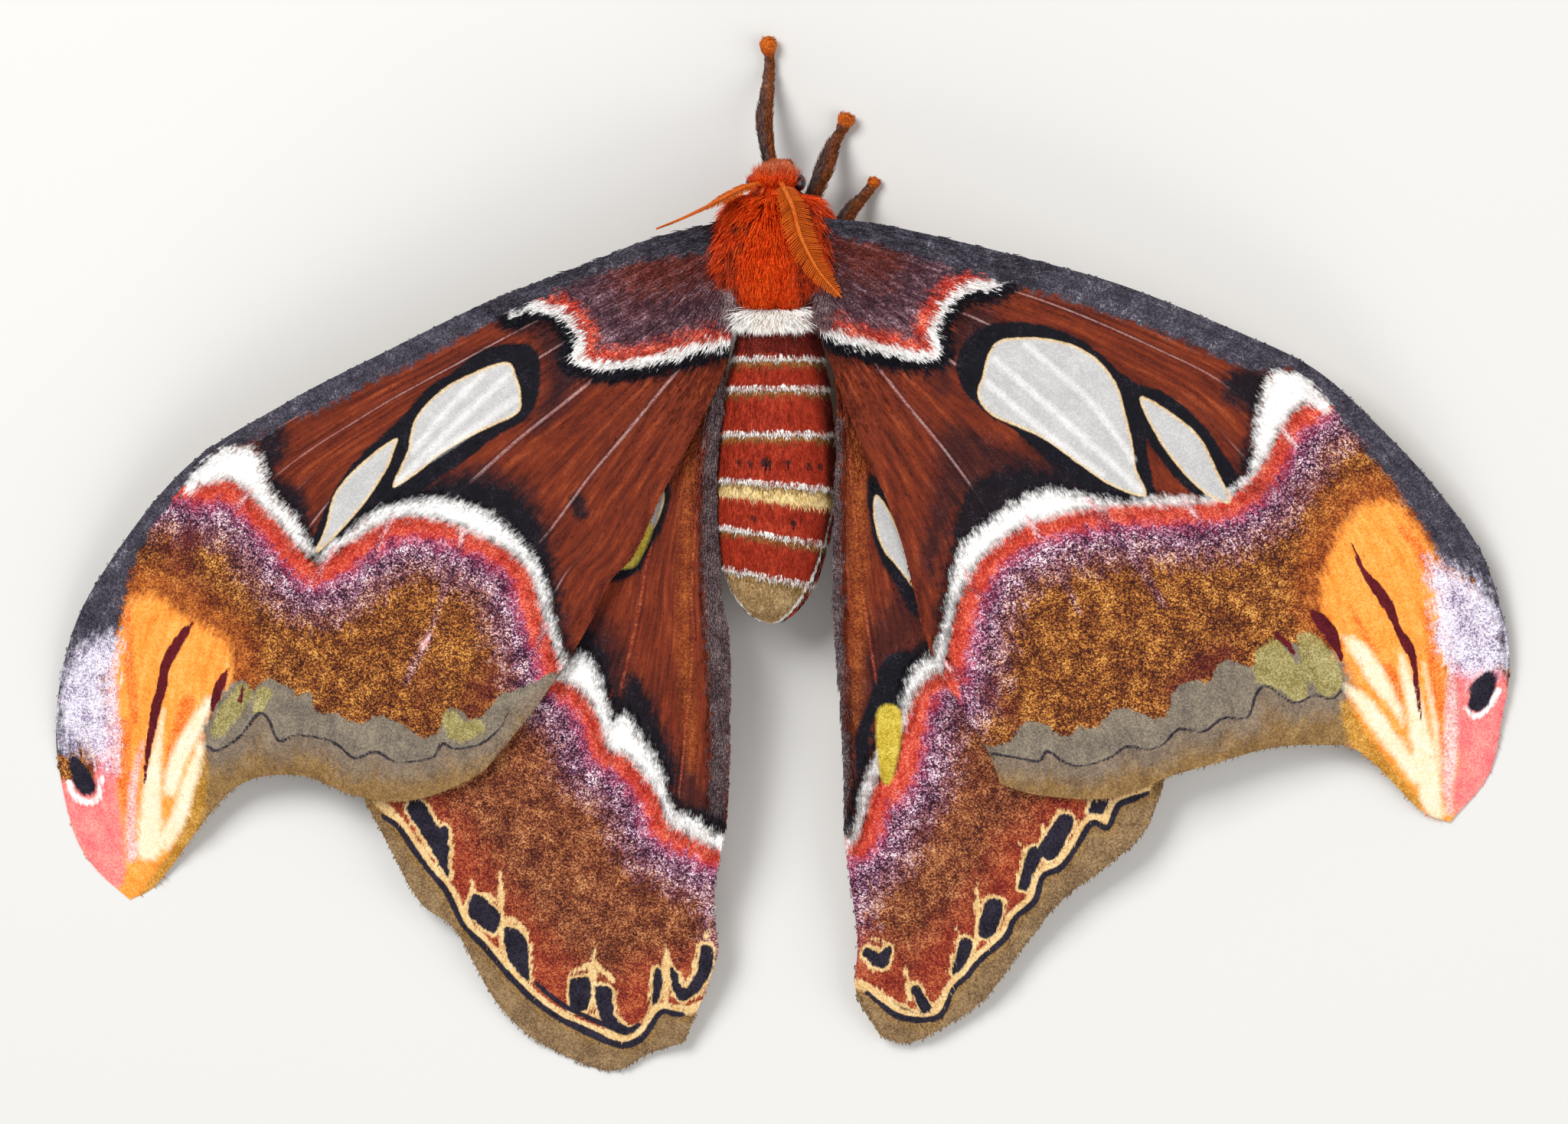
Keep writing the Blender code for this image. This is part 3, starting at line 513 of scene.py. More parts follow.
@dataclass
class ScaleFinish:
    """A surface painted in layers by its fields, the same for a skin and for its hairs."""

    name: str
    marks: Sequence[str]
    layers: Sequence[Layer]
    effects: Effects
    ground: Paint = RUST
    streaky: float = 1.9
    rough: float = Gloss.SCALES.value
    underside: float = 0.45
    hair_shade: float = 0.34
    # Painted light towards a hair's tip and painted shade at its root, laid on by the tip value.
    painted_tip_light: float = 0.6
    painted_root_shade: float = -0.42
    bump: float = 0.55
    bump_depth: float = 0.00018
    specular: float = 0.12
    ground_grain: float = 0.35
    ground_start: float = 0.32

    def make(self) -> Material:
        """The paints, the painted shade and light of the hairs, the gloss of the windows and the
        relief.

        Returns:
            The material.
        """
        material, graph, shader = make_material(self.name)
        place = graph.add("ShaderNodeTexCoord").outputs["Object"]
        lie = graph.attribute("lie").outputs["Vector"]
        grain = graph.group(self.effects.grain, Place=place, Lie=lie)
        fields = self.read_fields(graph)
        graph.feed(shader.inputs["Base Color"],
                   self.shaded(graph, self.painted(graph, grain, fields)))
        shader.inputs["Roughness"].default_value = self.rough
        if "window" in fields:
            window = graph.math("GREATER_THAN", fields["window"], 0.0)
            graph.feed(shader.inputs["Roughness"], graph.math(
                "MULTIPLY_ADD", window, Gloss.WINDOW.value - self.rough, self.rough))
        relief = graph.group(self.effects.relief, Place=place, Grain=grain.outputs["Grain"])
        bump = graph.add("ShaderNodeBump")
        bump.inputs["Strength"].default_value = self.bump
        bump.inputs["Distance"].default_value = self.bump_depth
        graph.feed(bump.inputs["Height"], relief.outputs["Height"])
        graph.feed(shader.inputs["Normal"], bump.outputs["Normal"])
        shader.inputs["Specular IOR Level"].default_value = self.specular
        return material

    def read_fields(self, graph: Graph) -> dict[str, Socket]:
        """The marks' values by name, as pack_marks() stored them."""
        fields = {}
        for first in range(0, len(self.marks), 3):
            split = graph.add("ShaderNodeSeparateXYZ")
            graph.feed(split.inputs[0],
                       graph.attribute(f"marks_{first // 3}").outputs["Vector"])
            for socket, mark in zip(split.outputs, self.marks[first:first + 3]):
                fields[mark] = socket
        return fields

    def painted(self, graph: Graph, grain: Node, fields: dict[str, Socket]) -> Socket:
        """The ground colour with every layer over it, paler on an underside.

        Args:
            graph: The material's graph.
            grain: The node with the scales' grain.
            fields: The marks' values by name.

        Returns:
            The colour.
        """
        tone = graph.math("MULTIPLY_ADD", grain.outputs["Streak"], self.streaky,
                          -0.5 * self.streaky)
        ground = graph.math("MULTIPLY_ADD", grain.outputs["Grain"], self.ground_grain,
                            self.ground_start)
        colour = graph.ramp(graph.math("ADD", ground, tone, clamp=True), self.ground.stops)
        for layer in self.layers:
            mask = graph.group(self.effects.edge, Field=fields[layer.mark],
                               Fringe=grain.outputs["Fringe"], Start=layer.start,
                               Soft=layer.soft, Fuzz=layer.fuzz, Amount=layer.amount)
            speck = grain.outputs["Grain"]
            if layer.streaky:
                speck = graph.math("MULTIPLY_ADD", grain.outputs["Streak"], layer.streaky,
                                   graph.math("MULTIPLY_ADD", speck, 1 - 0.5 * layer.streaky,
                                              -0.25 * layer.streaky))
            paint = graph.ramp(speck, layer.paint.stops)
            colour = graph.mix(mask.outputs["Mask"], colour, paint)
        under = graph.attribute("under").outputs["Fac"]
        pale = graph.mix(self.underside, colour, UNDERSIDE_TAN)
        return graph.mix(under, colour, pale)

    def shaded(self, graph: Graph, colour: Socket) -> Socket:
        """The colour, darker at a hair's root by painted shade and lighter at its tip by painted
        light, and unlike from hair to hair.
        """
        hairs = graph.add("ShaderNodeHueSaturation")
        tip = graph.math("MULTIPLY_ADD", graph.attribute("tip").outputs["Fac"],
                         self.painted_tip_light, self.painted_root_shade)
        shade = graph.math("MULTIPLY_ADD", graph.attribute("shade").outputs["Fac"],
                           self.hair_shade, tip)
        graph.feed(hairs.inputs["Value"], graph.math(
            "MULTIPLY_ADD", shade, graph.attribute("hair").outputs["Fac"], 1.0))
        graph.feed(hairs.inputs["Color"], colour)
        return hairs.outputs[0]


def dome(x: Array, y: Array) -> Array:
    """Height of the common wing surface: crown - a (x² + y²) - b x."""
    return WING_CROWN - WING_DOME * (x**2 + y**2) - WING_LEAN * x


def lay(u: Array, v: Array, above: float) -> Array:
    """Points of the raised wing surface that are seen at drawing place u, v in millimetres.

    The height is first guessed, the point is traced back along the line of sight to that height,
    and the dome there gives the next height, six times over.

    Args:
        u: Drawing place to the right of the thorax.
        v: Drawing place ahead of the thorax.
        above: How far over the dome the surface is.

    Returns:
        Points from the thorax's middle, height from the floor.
    """
    side, up = math.cos(SEEN_ROLL), math.sin(SEEN_ROLL)
    z = np.full(np.shape(u), WING_CROWN)
    for _ in range(6):
        depth = z - THORAX[2]
        across, ahead = u - SEEN_MIDDLE[0], v - SEEN_MIDDLE[1]
        shrink = 1 - (across * up + depth) / side / SEEN_FROM
        across, y = across * shrink, ahead * shrink + SEEN_MIDDLE[1]
        x = (across + SEEN_MIDDLE[0] + depth * up) / side
        z = dome(x, y) + above
    return np.stack([x, y, z], axis=-1)


def grid_faces(lines: int, rows: int, first: int = 0, wrap: bool = False) -> Array:
    """Triangles over a grid of points: (i, j), (i+1, j), (i+1, j+1), and (i, j), (i+1, j+1),
    (i, j+1).

    Args:
        lines: Points along the first direction.
        rows: Points along the second direction, which varies fastest.
        first: Number of the grid's first point.
        wrap: Whether the second direction closes on itself.

    Returns:
        One row of three point numbers for each triangle.
    """
    ends = rows if wrap else rows - 1
    i, j = (k.ravel() for k in np.meshgrid(np.arange(lines - 1), np.arange(ends), indexing="ij"))
    after = (j + 1) % rows
    a, b = first + i * rows + j, first + (i + 1) * rows + j
    c, d = first + (i + 1) * rows + after, first + i * rows + after
    return np.concatenate([np.stack([a, b, c], 1), np.stack([a, c, d], 1)])


def capped_faces(rings: int, around: int) -> Array:
    """Triangles over closed rings of points, with a fan to one more point at each end.

    Args:
        rings: How many rings.
        around: Points to a ring.

    Returns:
        One row to a triangle. The two end points are numbered after those of the rings.
    """
    count, k = rings * around, np.arange(around)
    after, last = (k + 1) % around, count - around
    return np.concatenate([grid_faces(rings, around, 0, True),
                           np.stack([np.full_like(k, count), k, after], 1),
                           np.stack([np.full_like(k, count + 1), last + after, last + k], 1)])


def add_object(name: str, data: bpy.types.ID) -> bpy.types.Object:
    """A new object in the scene."""
    item = bpy.data.objects.new(name, data)
    bpy.context.scene.collection.objects.link(item)
    return item


def both_sides(count: int) -> Array:
    """-1 and 1 in turn, for hairs that stand left and right."""
    return np.where(np.arange(count) % 2, 1.0, -1.0)


@dataclass
class Piece:
    """A finished mesh: points in millimetres, triangles, values on points and a map."""

    name: str
    points: Array
    faces: Array
    values: dict[str, Array] = field(default_factory=dict)
    corners: Array | None = None
    crease: float = 0.0

    def make(self, material: Material, *stands_for: str) -> None:
        """Puts the mesh in the scene, faces outwards, and hides the solids it stands for.

        The faces are turned over where the enclosed volume, a sixth of the sum of
        a . (b x c) over the triangles, comes out negative.

        Args:
            material: Its finish.
            stands_for: Names of solids that it takes the place of.
        """
        a, b, c = (self.points[self.faces[:, k]] for k in range(3))
        corners = self.corners
        faces = self.faces
        if np.einsum("ij,ij->", a, np.cross(b, c)) < 0:
            faces = faces[:, ::-1]
            corners = None if corners is None else corners[:, ::-1]
        mesh = bpy.data.meshes.new(self.name)
        mesh.vertices.add(len(self.points))
        mesh.vertices.foreach_set("co", to_frame(self.points).astype(np.float32).ravel())
        mesh.loops.add(faces.size)
        mesh.loops.foreach_set("vertex_index", faces.astype(np.int32).ravel())
        mesh.polygons.add(len(faces))
        mesh.polygons.foreach_set("loop_start", np.arange(0, faces.size, 3, dtype=np.int32))
        mesh.update(calc_edges=True)
        for name, value in self.values.items():
            kind, key = ("FLOAT_VECTOR", "vector") if value.ndim == 2 else ("FLOAT", "value")
            store = mesh.attributes.new(name, kind, "POINT")
            store.data.foreach_set(key, value.astype(np.float32).ravel())
        if corners is not None:
            layer = mesh.uv_layers.new(name=BAKE_MAP)
            layer.data.foreach_set("uv", corners.astype(np.float32).ravel())
        mesh.shade_smooth()
        if self.crease:
            mesh.set_sharp_from_angle(angle=math.radians(self.crease))
        mesh.materials.append(material)
        item = add_object(self.name, mesh)
        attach(item, "root")
        if stands_for:
            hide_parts(*stands_for)
        LOG.info("%s: %d triangles", self.name, len(faces))


def starts(veins: Stroke, share: float = 0.36, half: float = 3.0) -> Stroke:
    """The first part of every line of a stroke, narrower at its ends.

    Args:
        veins: The lines.
        share: How much of each line's first step to keep.
        half: Half width in the middle.

    Returns:
        The shorter lines.
    """
    made = []
    for (ax, ay, _), (bx, by, _), *_ in veins.lines:
        middle, end = 0.5 * share, share
        made.append(((ax, ay, half - 1), (ax + middle * (bx - ax), ay + middle * (by - ay), half),
                     (ax + end * (bx - ax), ay + end * (by - ay), half - 2)))
    return Stroke(tuple(made))


@dataclass
class Marks:
    """The markings of one wing, each a shape of the drawing, and the coats of paint over them."""

    shapes: dict[str, Shape]
    layers: Sequence[Layer]

    def __post_init__(self) -> None:
        """Pale streaks start where the outer veins cross the red band."""
        if "vein_out" in self.shapes:
            self.shapes["blush"] = starts(self.shapes["vein_out"])


@dataclass
class Wing:
    """One wing: its edges, its place over the dome, its veins and its markings.

    The wing is a blend of its four edges. With s from root to margin and t from the front edge to
    the inner edge, a point is (1-t) front(s) + t inner(s) + (1-s) root(t) + s margin(t), less the
    same blend of the four corners.
    """

    name: str
    front: Points
    margin: Points
    inner: Points
    above: float
    marks: Marks
    main_veins: Sequence[float] = (0.07, 0.24, 0.42, 0.60, 0.80)
    side_veins: Sequence[float] = (0.16, 0.33, 0.51, 0.70, 0.90)
    lines: int = 170
    rows: int = 230
    thick: float = 0.42
    rim_thick: float = 0.14
    vein_high: float = 0.16
    vein_half: float = 0.34
    vein_under: float = 0.6
    side_start: float = 0.42
    side_grow: float = 0.12
    sag: float = 0.30
    span: float = 90.0
    rim_wide: float = 2.0
    hair_count: int = 9000
    hairy_root: float = 0.24
    hairy_rim: float = 0.5
    on_bands: float = 1.3
    on_strip: float = 1.2
    on_fringe: float = 0.5
    elsewhere: float = 0.02

    def flat(self) -> tuple[Array, Array, Array]:
        """The wing in the drawing, with t and s of its lines and rows.

        Returns:
            The grid of drawing points in millimetres, t of each line and s of each row.
        """
        t, s = np.linspace(0, 1, self.lines), np.linspace(0, 1, self.rows)
        front = along_path(self.front, s**ROW_POWER)
        inner = along_path(self.inner, s**ROW_POWER)
        margin = along_path(self.margin, t)
        root = along_path([self.front[0], self.inner[0]], t)
        tt, ss = t[:, None, None], s[None, :, None]
        edges = (1 - tt) * front[None] + tt * inner[None]
        ends = (1 - ss) * root[:, None] + ss * margin[:, None]
        corners = ((1 - ss) * ((1 - tt) * front[0] + tt * inner[0])
                   + ss * ((1 - tt) * front[-1] + tt * inner[-1]))
        return edges + ends - corners, t, s

    def ribs(self, flat: Array, t: Array, s: Array) -> tuple[Array, Array]:
        """Vein height and the sag of the skin between veins.

        A vein is a bell curve of the distance across it, exp(-(d / half width)²). The side veins
        start at side_start. Between two main veins the skin hangs by
        sag * s * sin²(pi * share of the way between them).

        Args:
            flat: The grid of drawing points.
            t: Place of each line.
            s: Place of each row.

        Returns:
            The vein's share from 0 to 1, and the sag in millimetres.
        """
        wide = np.linalg.norm(flat[-1] - flat[0], axis=-1)[None, :]
        share = np.zeros(flat.shape[:2])
        for veins, start in ((self.main_veins, -1.0), (self.side_veins, self.side_start)):
            for vein in veins:
                away = np.abs(t[:, None] - vein) * wide
                grown = np.clip((s[None, :] - start) / self.side_grow, 0, 1)
                share = np.maximum(share, grown * np.exp(-(away / self.vein_half) ** 2))
        bounds = np.array([0.0, *self.main_veins, 1.0])
        at = np.clip(np.searchsorted(bounds, t, "right") - 1, 0, len(bounds) - 2)
        between = (t - bounds[at]) / (bounds[at + 1] - bounds[at])
        hang = self.sag * s[None, :] * np.sin(math.pi * between[:, None]) ** 2
        return share, hang

    def surface(self) -> dict[str, Array]:
        """Everything that is known at each point of the wing's grid."""
        flat, t, s = self.flat()
        ribs, hang = self.ribs(flat, t, s)
        middle = lay(flat[..., 0], flat[..., 1], self.above)
        middle[..., 2] -= hang
        from_rim = np.minimum.reduce([
            np.minimum(t, 1 - t)[:, None] * np.linalg.norm(flat[-1] - flat[0], axis=-1)[None, :],
            np.broadcast_to((1 - s)[None, :] * self.span, flat.shape[:2])])
        share = np.clip(from_rim / self.rim_wide, 0, 1)
        half = 0.5 * (self.rim_thick + (self.thick - self.rim_thick) * share)
        high = middle[..., 2] + half + self.vein_high * ribs
        low = np.maximum(middle[..., 2] - half - self.vein_under * self.vein_high * ribs,
                         0.0)
        high = np.maximum(high, low + 2 * half)
        return {"flat": flat, "t": t, "s": s, "ribs": ribs, "middle": middle, "high": high,
                "low": low, "rim": from_rim}

    def fields(self, flat: Array, ribs: Array) -> dict[str, Array]:
        """The value of every marking at points of the drawing, in millimetres."""
        x = DRAWN_AT[0] + DRAWN_STEP * flat[..., 0]
        y = DRAWN_AT[1] - DRAWN_STEP * flat[..., 1]
        found = {name: shape.reach(x, y) / DRAWN_STEP
                 for name, shape in self.marks.shapes.items()}
        found["vein"] = ribs
        return found

    def lie(self, t: Array, s: Array, under: float) -> Array:
        """Coordinates that run along the hairs at each grid point: many to the millimetre across,
        few along.
        """
        tt, ss = np.broadcast_arrays(t[:, None], s[None, :])
        return np.stack([60.0 * tt, 12.0 * ss, np.full(tt.shape, 7.0 * under)], -1).reshape(-1, 3)

    def build(self, effects: Effects) -> None:
        """The wing as one closed plate with its markings on both faces, and its hairs.

        Args:
            effects: The shared shader effects.
        """
        known = self.surface()
        flat, t, s = known["flat"], known["t"], known["s"]
        fields = self.fields(flat, known["ribs"])
        top, bottom = known["middle"].copy(), known["middle"].copy()
        top[..., 2], bottom[..., 2] = known["high"], known["low"]
        count = self.lines * self.rows
        upper = grid_faces(self.lines, self.rows)
        lower = grid_faces(self.lines, self.rows, count)[:, ::-1]
        edge = self.edge_loop()
        after = np.roll(edge, -1)
        rim = np.concatenate([np.stack([after, edge, edge + count], 1),
                              np.stack([after, edge + count, after + count], 1)])
        faces = np.concatenate([upper, lower, rim])
        values = {name: np.tile(value, (2, 1)) for name, value in pack_marks(fields).items()}
        values["lie"] = np.concatenate([self.lie(t, s, side) for side in (0.0, 1.0)])
        values["under"] = np.repeat([0.0, 1.0], count)
        corners = self.corners(flat, upper, lower, rim, count)
        piece = Piece(self.name + "_skin", np.concatenate([top.reshape(-1, 3),
                                                           bottom.reshape(-1, 3)]),
                      faces, values, corners, crease=60.0)
        material = ScaleFinish(self.name + "_scales", sorted(fields), self.marks.layers,
                               effects).make()
        piece.make(material, self.name)
        known["fields"] = fields
        self.hairs(known, material)

    def hairiness(self, known: dict[str, Array]) -> tuple[Array, Array, Array]:
        """How thick the hairs stand at each grid point.

        Many stand near the root, along the white bands and the black that borders them, on the
        hairy strip and in the fringe of the rim, and none on the windows.

        Args:
            known: What surface() and fields() gave.

        Returns:
            The weight of each point, how far it is in the long hair of root and strip, and
            whether it is in the fringe.
        """
        fields, s = known["fields"], np.broadcast_to(known["s"][None, :], known["ribs"].shape)
        none = np.full(s.shape, -9.0)
        root = fields.get("root", none)
        band = np.abs(np.abs(fields["white"]) - 0.2) < 0.9
        cross = (root > -2.2) & (root < 1.2)
        near_root = np.clip(1 - s / self.hairy_root, 0, 1)
        strip = fields.get("strip", none) > -0.5
        fringe = known["rim"] < self.hairy_rim
        bare = np.maximum(fields["window"], fields.get("lime", none)) > -0.3
        area = np.linalg.norm(known["flat"][-1] - known["flat"][0], axis=-1)[None, :]
        weight = area * (near_root + self.on_bands * band + self.on_bands * cross
                         + self.on_strip * strip + self.on_fringe * fringe
                         + self.elsewhere) * ~bare
        return weight, near_root + 0.5 * strip, fringe

    def hairs(self, known: dict[str, Array], material: Material) -> None:
        """Hair-like scales on the upper face, with the wing's own finish.

        Grid points are drawn by their hairiness. Each hair lies along the veins, and takes the
        markings of its root.

        Args:
            known: What surface() and fields() gave.
            material: The wing's finish.
        """
        dice = np.random.default_rng(len(self.name))
        weight, inward, fringe = self.hairiness(known)
        share = (weight / weight.sum()).ravel()
        picked = dice.choice(share.size, self.hair_count, p=share)
        i, j = np.unravel_index(picked, weight.shape)
        inward, fringe = inward[i, j], fringe[i, j]
        top = known["middle"].copy()
        top[..., 2] = known["high"]
        along, across = np.gradient(top, axis=1), np.gradient(top, axis=0)
        normals = np.cross(along, across)
        normals *= np.sign(normals[..., 2:])
        spot = (top[i, j] + along[i, j] * dice.uniform(-0.5, 0.5, (len(i), 1))
                + across[i, j] * dice.uniform(-0.5, 0.5, (len(i), 1)))
        values = {name: value[picked] for name, value in pack_marks(known["fields"]).items()}
        values["lie"] = self.lie(known["t"], known["s"], 0.0)[picked]
        values["hair"] = np.ones(len(i))
        length = dice.uniform(0.6, 1.2, len(i)) * (0.75 + 1.3 * inward - 0.3 * fringe)
        Tufts(self.name + "_hairs", spot, normals[i, j], along[i, j], length,
              dice.uniform(0.12, 0.22, len(i)) * (1 + 0.5 * inward),
              self.map_places(known["flat"])[i, j], values, rise=0.34, fall=0.22, bend=0.1,
              sink=0.08, stops=(0.0, 0.55), seed=5).build(material)

    def edge_loop(self) -> Array:
        """Numbers of the grid's edge points, once round."""
        lines, rows = self.lines, self.rows
        return np.concatenate([np.arange(lines) * rows, (lines - 1) * rows + np.arange(1, rows),
                               np.arange(lines - 2, -1, -1) * rows + rows - 1,
                               np.arange(rows - 2, 0, -1)])

    def map_places(self, flat: Array) -> Array:
        """Drawing points as map places in the left half of the map, with a border."""
        low, high = flat.min((0, 1)), flat.max((0, 1))
        size = float((high - low).max())
        return 0.01 + (flat - low) / size * np.array([0.47, 0.96])

    def corners(self, flat: Array, upper: Array, lower: Array, rim: Array,
                count: int) -> Array:
        """Map places of every triangle's corners: the top in the left half, the underside in the
        right half, and the rim folded flat beside the top's edge.
        """
        places = self.map_places(flat).reshape(-1, 2)
        under = places + np.array([0.5, 0.0])
        middle = places.mean(0)
        out = places + 0.0015 * unit(places - middle)
        outer = rim - count
        rim_places = np.where((rim >= count)[..., None], out[np.clip(outer, 0, None)],
                              places[np.clip(rim, 0, count - 1)])
        return np.concatenate([places[upper], under[lower - count], rim_places]).reshape(-1, 2)


@dataclass
class Tufts:
    """Many small closed locks of hair that follow the lie of a skin.

    Each is a spike of three sides. Along it, with q from 0 at the root to 1 at the tip, its middle
    is root + L (q lie + (rise q - fall q²) normal + bend q² side), and its half width is
    w (1 - q)^taper, flattened across the normal. The root starts under the skin, and no point is
    below the lowest height. On the map each lock takes one small square patch.
    """

    name: str
    roots: Array
    normals: Array
    lies: Array
    lengths: Array
    widths: Array
    places: Array
    values: dict[str, Array]
    rise: float = 0.45
    fall: float = 0.35
    bend: float = 0.18
    sink: float = 0.15
    flatness: float = 0.45
    stops: Sequence[float] = (0.0, 0.34, 0.7)
    taper: float = 0.8
    seed: int = 3
    stray: float = 0.12
    toward: Array | None = None
    gather: float = 0.0
    lowest: float = 0.02
    patch: float = 0.003

    def build(self, material: Material) -> None:
        """All the locks as one mesh.

        Args:
            material: Their finish.
        """
        dice = np.random.default_rng(self.seed)
        count = len(self.roots)
        normal, lie = unit(self.normals), unit(self.lies)
        side = unit(np.cross(lie, normal))
        bend = dice.normal(0, self.bend, count)
        rise = self.rise * dice.uniform(0.6, 1.4, count)
        turn = dice.normal(0, self.stray, count)
        lie = unit(lie + turn[:, None] * side)
        q = np.array([*self.stops, 1.0])
        length = self.lengths[:, None, None]
        path = (self.roots[:, None] + length * (
            q[None, :, None] * lie[:, None]
            + (rise[:, None] * q - self.fall * q**2)[..., None] * normal[:, None]
            + (bend[:, None] * q**2)[..., None] * side[:, None]))
        path -= (self.sink * (1 - np.clip(q * 2, 0, 1)))[None, :, None] * normal[:, None]
        if self.toward is not None:
            pull = (self.gather * q**1.5)[None, :, None]
            path += pull * (self.toward[:, None] - path[:, -1:])
        half = self.widths[:, None] * 0.5 * (1 - q[:-1]) ** self.taper
        rings = []
        for along, over in ((-1.0, -0.5), (1.0, -0.5), (0.0, 1.0)):
            rings.append(path[:, :-1] + half[..., None] * (
                along * side[:, None] + over * self.flatness * normal[:, None]))
        body = np.stack(rings, axis=2).reshape(count, -1, 3)
        points = np.concatenate([body, path[:, -1:]], axis=1)
        points[..., 2] = np.maximum(points[..., 2], self.lowest)
        each = points.shape[1]
        faces = self.lock_faces(len(self.stops))
        every = (np.arange(count)[:, None, None] * each + faces[None]).reshape(-1, 3)
        tip = np.concatenate([np.repeat(q[:-1], 3), [1.0]])
        values = {name: np.repeat(value, each, axis=0) for name, value in self.values.items()}
        # tip runs from root to tip; the finish paints shade at the root and light at the tip by
        # it.
        values["tip"] = np.tile(tip, count)
        values["shade"] = np.repeat(dice.random(count), each)
        across = np.concatenate([np.tile([0.0, 1.0, 0.5], len(self.stops)), [0.5]])
        patch = np.stack([across - 0.5, tip - 0.5], 1) * self.patch
        spots = (self.places[:, None] + patch[None])[:, faces]
        Piece(self.name, points.reshape(-1, 3), every, values, spots.reshape(-1, 2)).make(material)

    @staticmethod
    def lock_faces(rings: int) -> Array:
        """Triangles of one spike: a cap, three sides between rings, and the tip."""
        faces = [(0, 2, 1)]
        for ring in range(rings - 1):
            for k in range(3):
                a, b = 3 * ring + k, 3 * ring + (k + 1) % 3
                faces += [(a, b, b + 3), (a, b + 3, a + 3)]
        last = 3 * (rings - 1)
        faces += [(last + k, last + (k + 1) % 3, 3 * rings) for k in range(3)]
        return np.array(faces)


FORE_LAYERS = coats(
    ("thumb", BLACK, -0.2, 0.9, 0.5, 0.9),
    ("dusk", BLACK, -0.4, 2.4, 1.0, 0.72),
    ("vein", BLACK, 0.1, 0.3, 0.1, 0.3),
    ("vein", BLUSH, 0.78, 0.3, 0.05, 0.35),
    ("rim_black", BLACK, 0.0, 0.35, 0.25),
    ("inner_black", BLACK, 0.0, 1.6, 1.3, 0.96),
    ("beyond", VERMILION, 0.0, 0.4, 0.6, 1.0, 0.5),
    ("beyond", MAGENTA, 2.6, 1.2, 1.2, 0.9),
    ("beyond", LILAC, 3.5, 1.8, 1.5),
    ("beyond", GOLD, 6.8, 5.0, 2.8, 0.97),
    ("vein_out", LILAC, 0.0, 1.0, 0.6, 0.6),
    ("crimson", MAROON, 0.0, 2.6, 1.4, 0.6),
    ("white", WHITE, 0.2, 1.3, 0.7),
    ("blush", BLUSH, 0.0, 0.35, 0.25, 0.85),
    ("window", STRAW, 0.0, 0.2, 0.1),
    ("window", GLASSY, 0.22, 0.5, 0.15, 1.0, 0.5),
    ("window_vein", WHITE, -0.1, 1.1, 0.2, 0.75),
    ("tip", BURNT, -3.2, 3.6, 1.6, 0.85),
    ("beyond_lobes", OLIVE, 0.0, 0.25, 0.55, 1.0, 0.4),
    ("lobes", LOBE, 0.0, 0.4, 0.5, 0.9),
    ("hem", BEIGE, 0.0, 0.4, 0.4, 0.9, 0.5),
    ("hem", OCHRE, 2.4, 2.6, 1.6, 0.75, 0.5),
    ("hem_line", INK, 0.0, 0.16, 0.12, 0.95),
    ("tip", ORANGE, 0.3, 1.6, 1.2, 1.0, 0.7),
    ("tip_hem", AMBER, 0.0, 1.0, 0.4, 0.9),
    ("tip_ember", EMBER, 0.0, 0.6, 0.3, 0.9),
    ("tip_cream", CREAM, 0.1, 0.9, 0.35, 0.95),
    ("tip_pink", BLUSH, 0.1, 0.8, 0.3, 0.9),
    ("tip_rose", ROSE, 0.0, 0.9, 0.5, 0.96, 0.5),
    ("streak", MAROON, 0.0, 0.16, 0.25),
    ("root", BLACK, -2.6, 1.1, 1.1),
    ("root", WHITE, -0.75, 0.3, 0.8),
    ("root", VERMILION, 0.55, 0.5, 0.7),
    ("root", ROOT_PURPLE, 1.9, 1.6, 1.6, 0.97, 0.9),
    ("root", RUST, 7.6, 4.5, 4.0, 0.7),
    ("costal", CHARCOAL, 0.0, 0.6, 1.2, 1.0, 0.4),
    ("corner", WHITE, 0.0, 0.8, 1.0, 0.9),
    ("frost", FROST, 0.0, 2.4, 2.2, 0.92),
    ("eye_moon", WHITE, 0.0, 0.4, 0.4),
    ("eye_spot", INK, 0.0, 0.4, 0.4),
)
HIND_LAYERS = coats(
    ("dusk", BLACK, -0.4, 2.6, 1.0, 0.6),
    ("vein", BLACK, 0.1, 0.3, 0.1, 0.3),
    ("vein", CRIMSON, 0.72, 0.3, 0.05, 0.7),
    ("glow", BURNT, 0.0, 1.6, 0.6, 0.55),
    ("strip", HAIRY_GREY, 0.0, 0.7, 0.9, 0.92),
    ("rim_black", BLACK, 0.0, 0.5, 0.3),
    ("inner_black", BLACK, 0.0, 1.5, 1.4, 0.96),
    ("beyond", VERMILION, 0.0, 0.4, 0.7, 1.0, 0.5),
    ("beyond", MAGENTA, 2.4, 1.2, 1.2, 0.9),
    ("beyond", LILAC, 3.3, 1.8, 1.5),
    ("beyond", COPPER, 6.8, 4.6, 2.8, 0.97),
    ("hem", CRIMSON, -7.0, 5.0, 2.6, 0.88),
    ("white", WHITE, 0.2, 1.3, 0.8),
    ("window", STRAW, 0.0, 0.2, 0.1),
    ("window", GLASSY, 0.2, 0.4, 0.15, 1.0, 0.5),
    ("lime", LIME, 0.0, 0.5, 0.2),
    ("spots", STRAW, -0.42, 0.3, 0.7, 0.92),
    ("spikes", STRAW, 0.0, 0.25, 0.5, 0.95),
    ("spots", INK, 0.0, 0.2, 0.3),
    ("hem", STRAW, -1.15, 0.3, 0.3, 0.95),
    ("hem", OCHRE, 0.1, 0.4, 0.2),
    ("hem", BEIGE, 0.6, 1.6, 1.0, 0.5),
    ("hem_line", INK, -0.14, 0.18, 0.1),
)

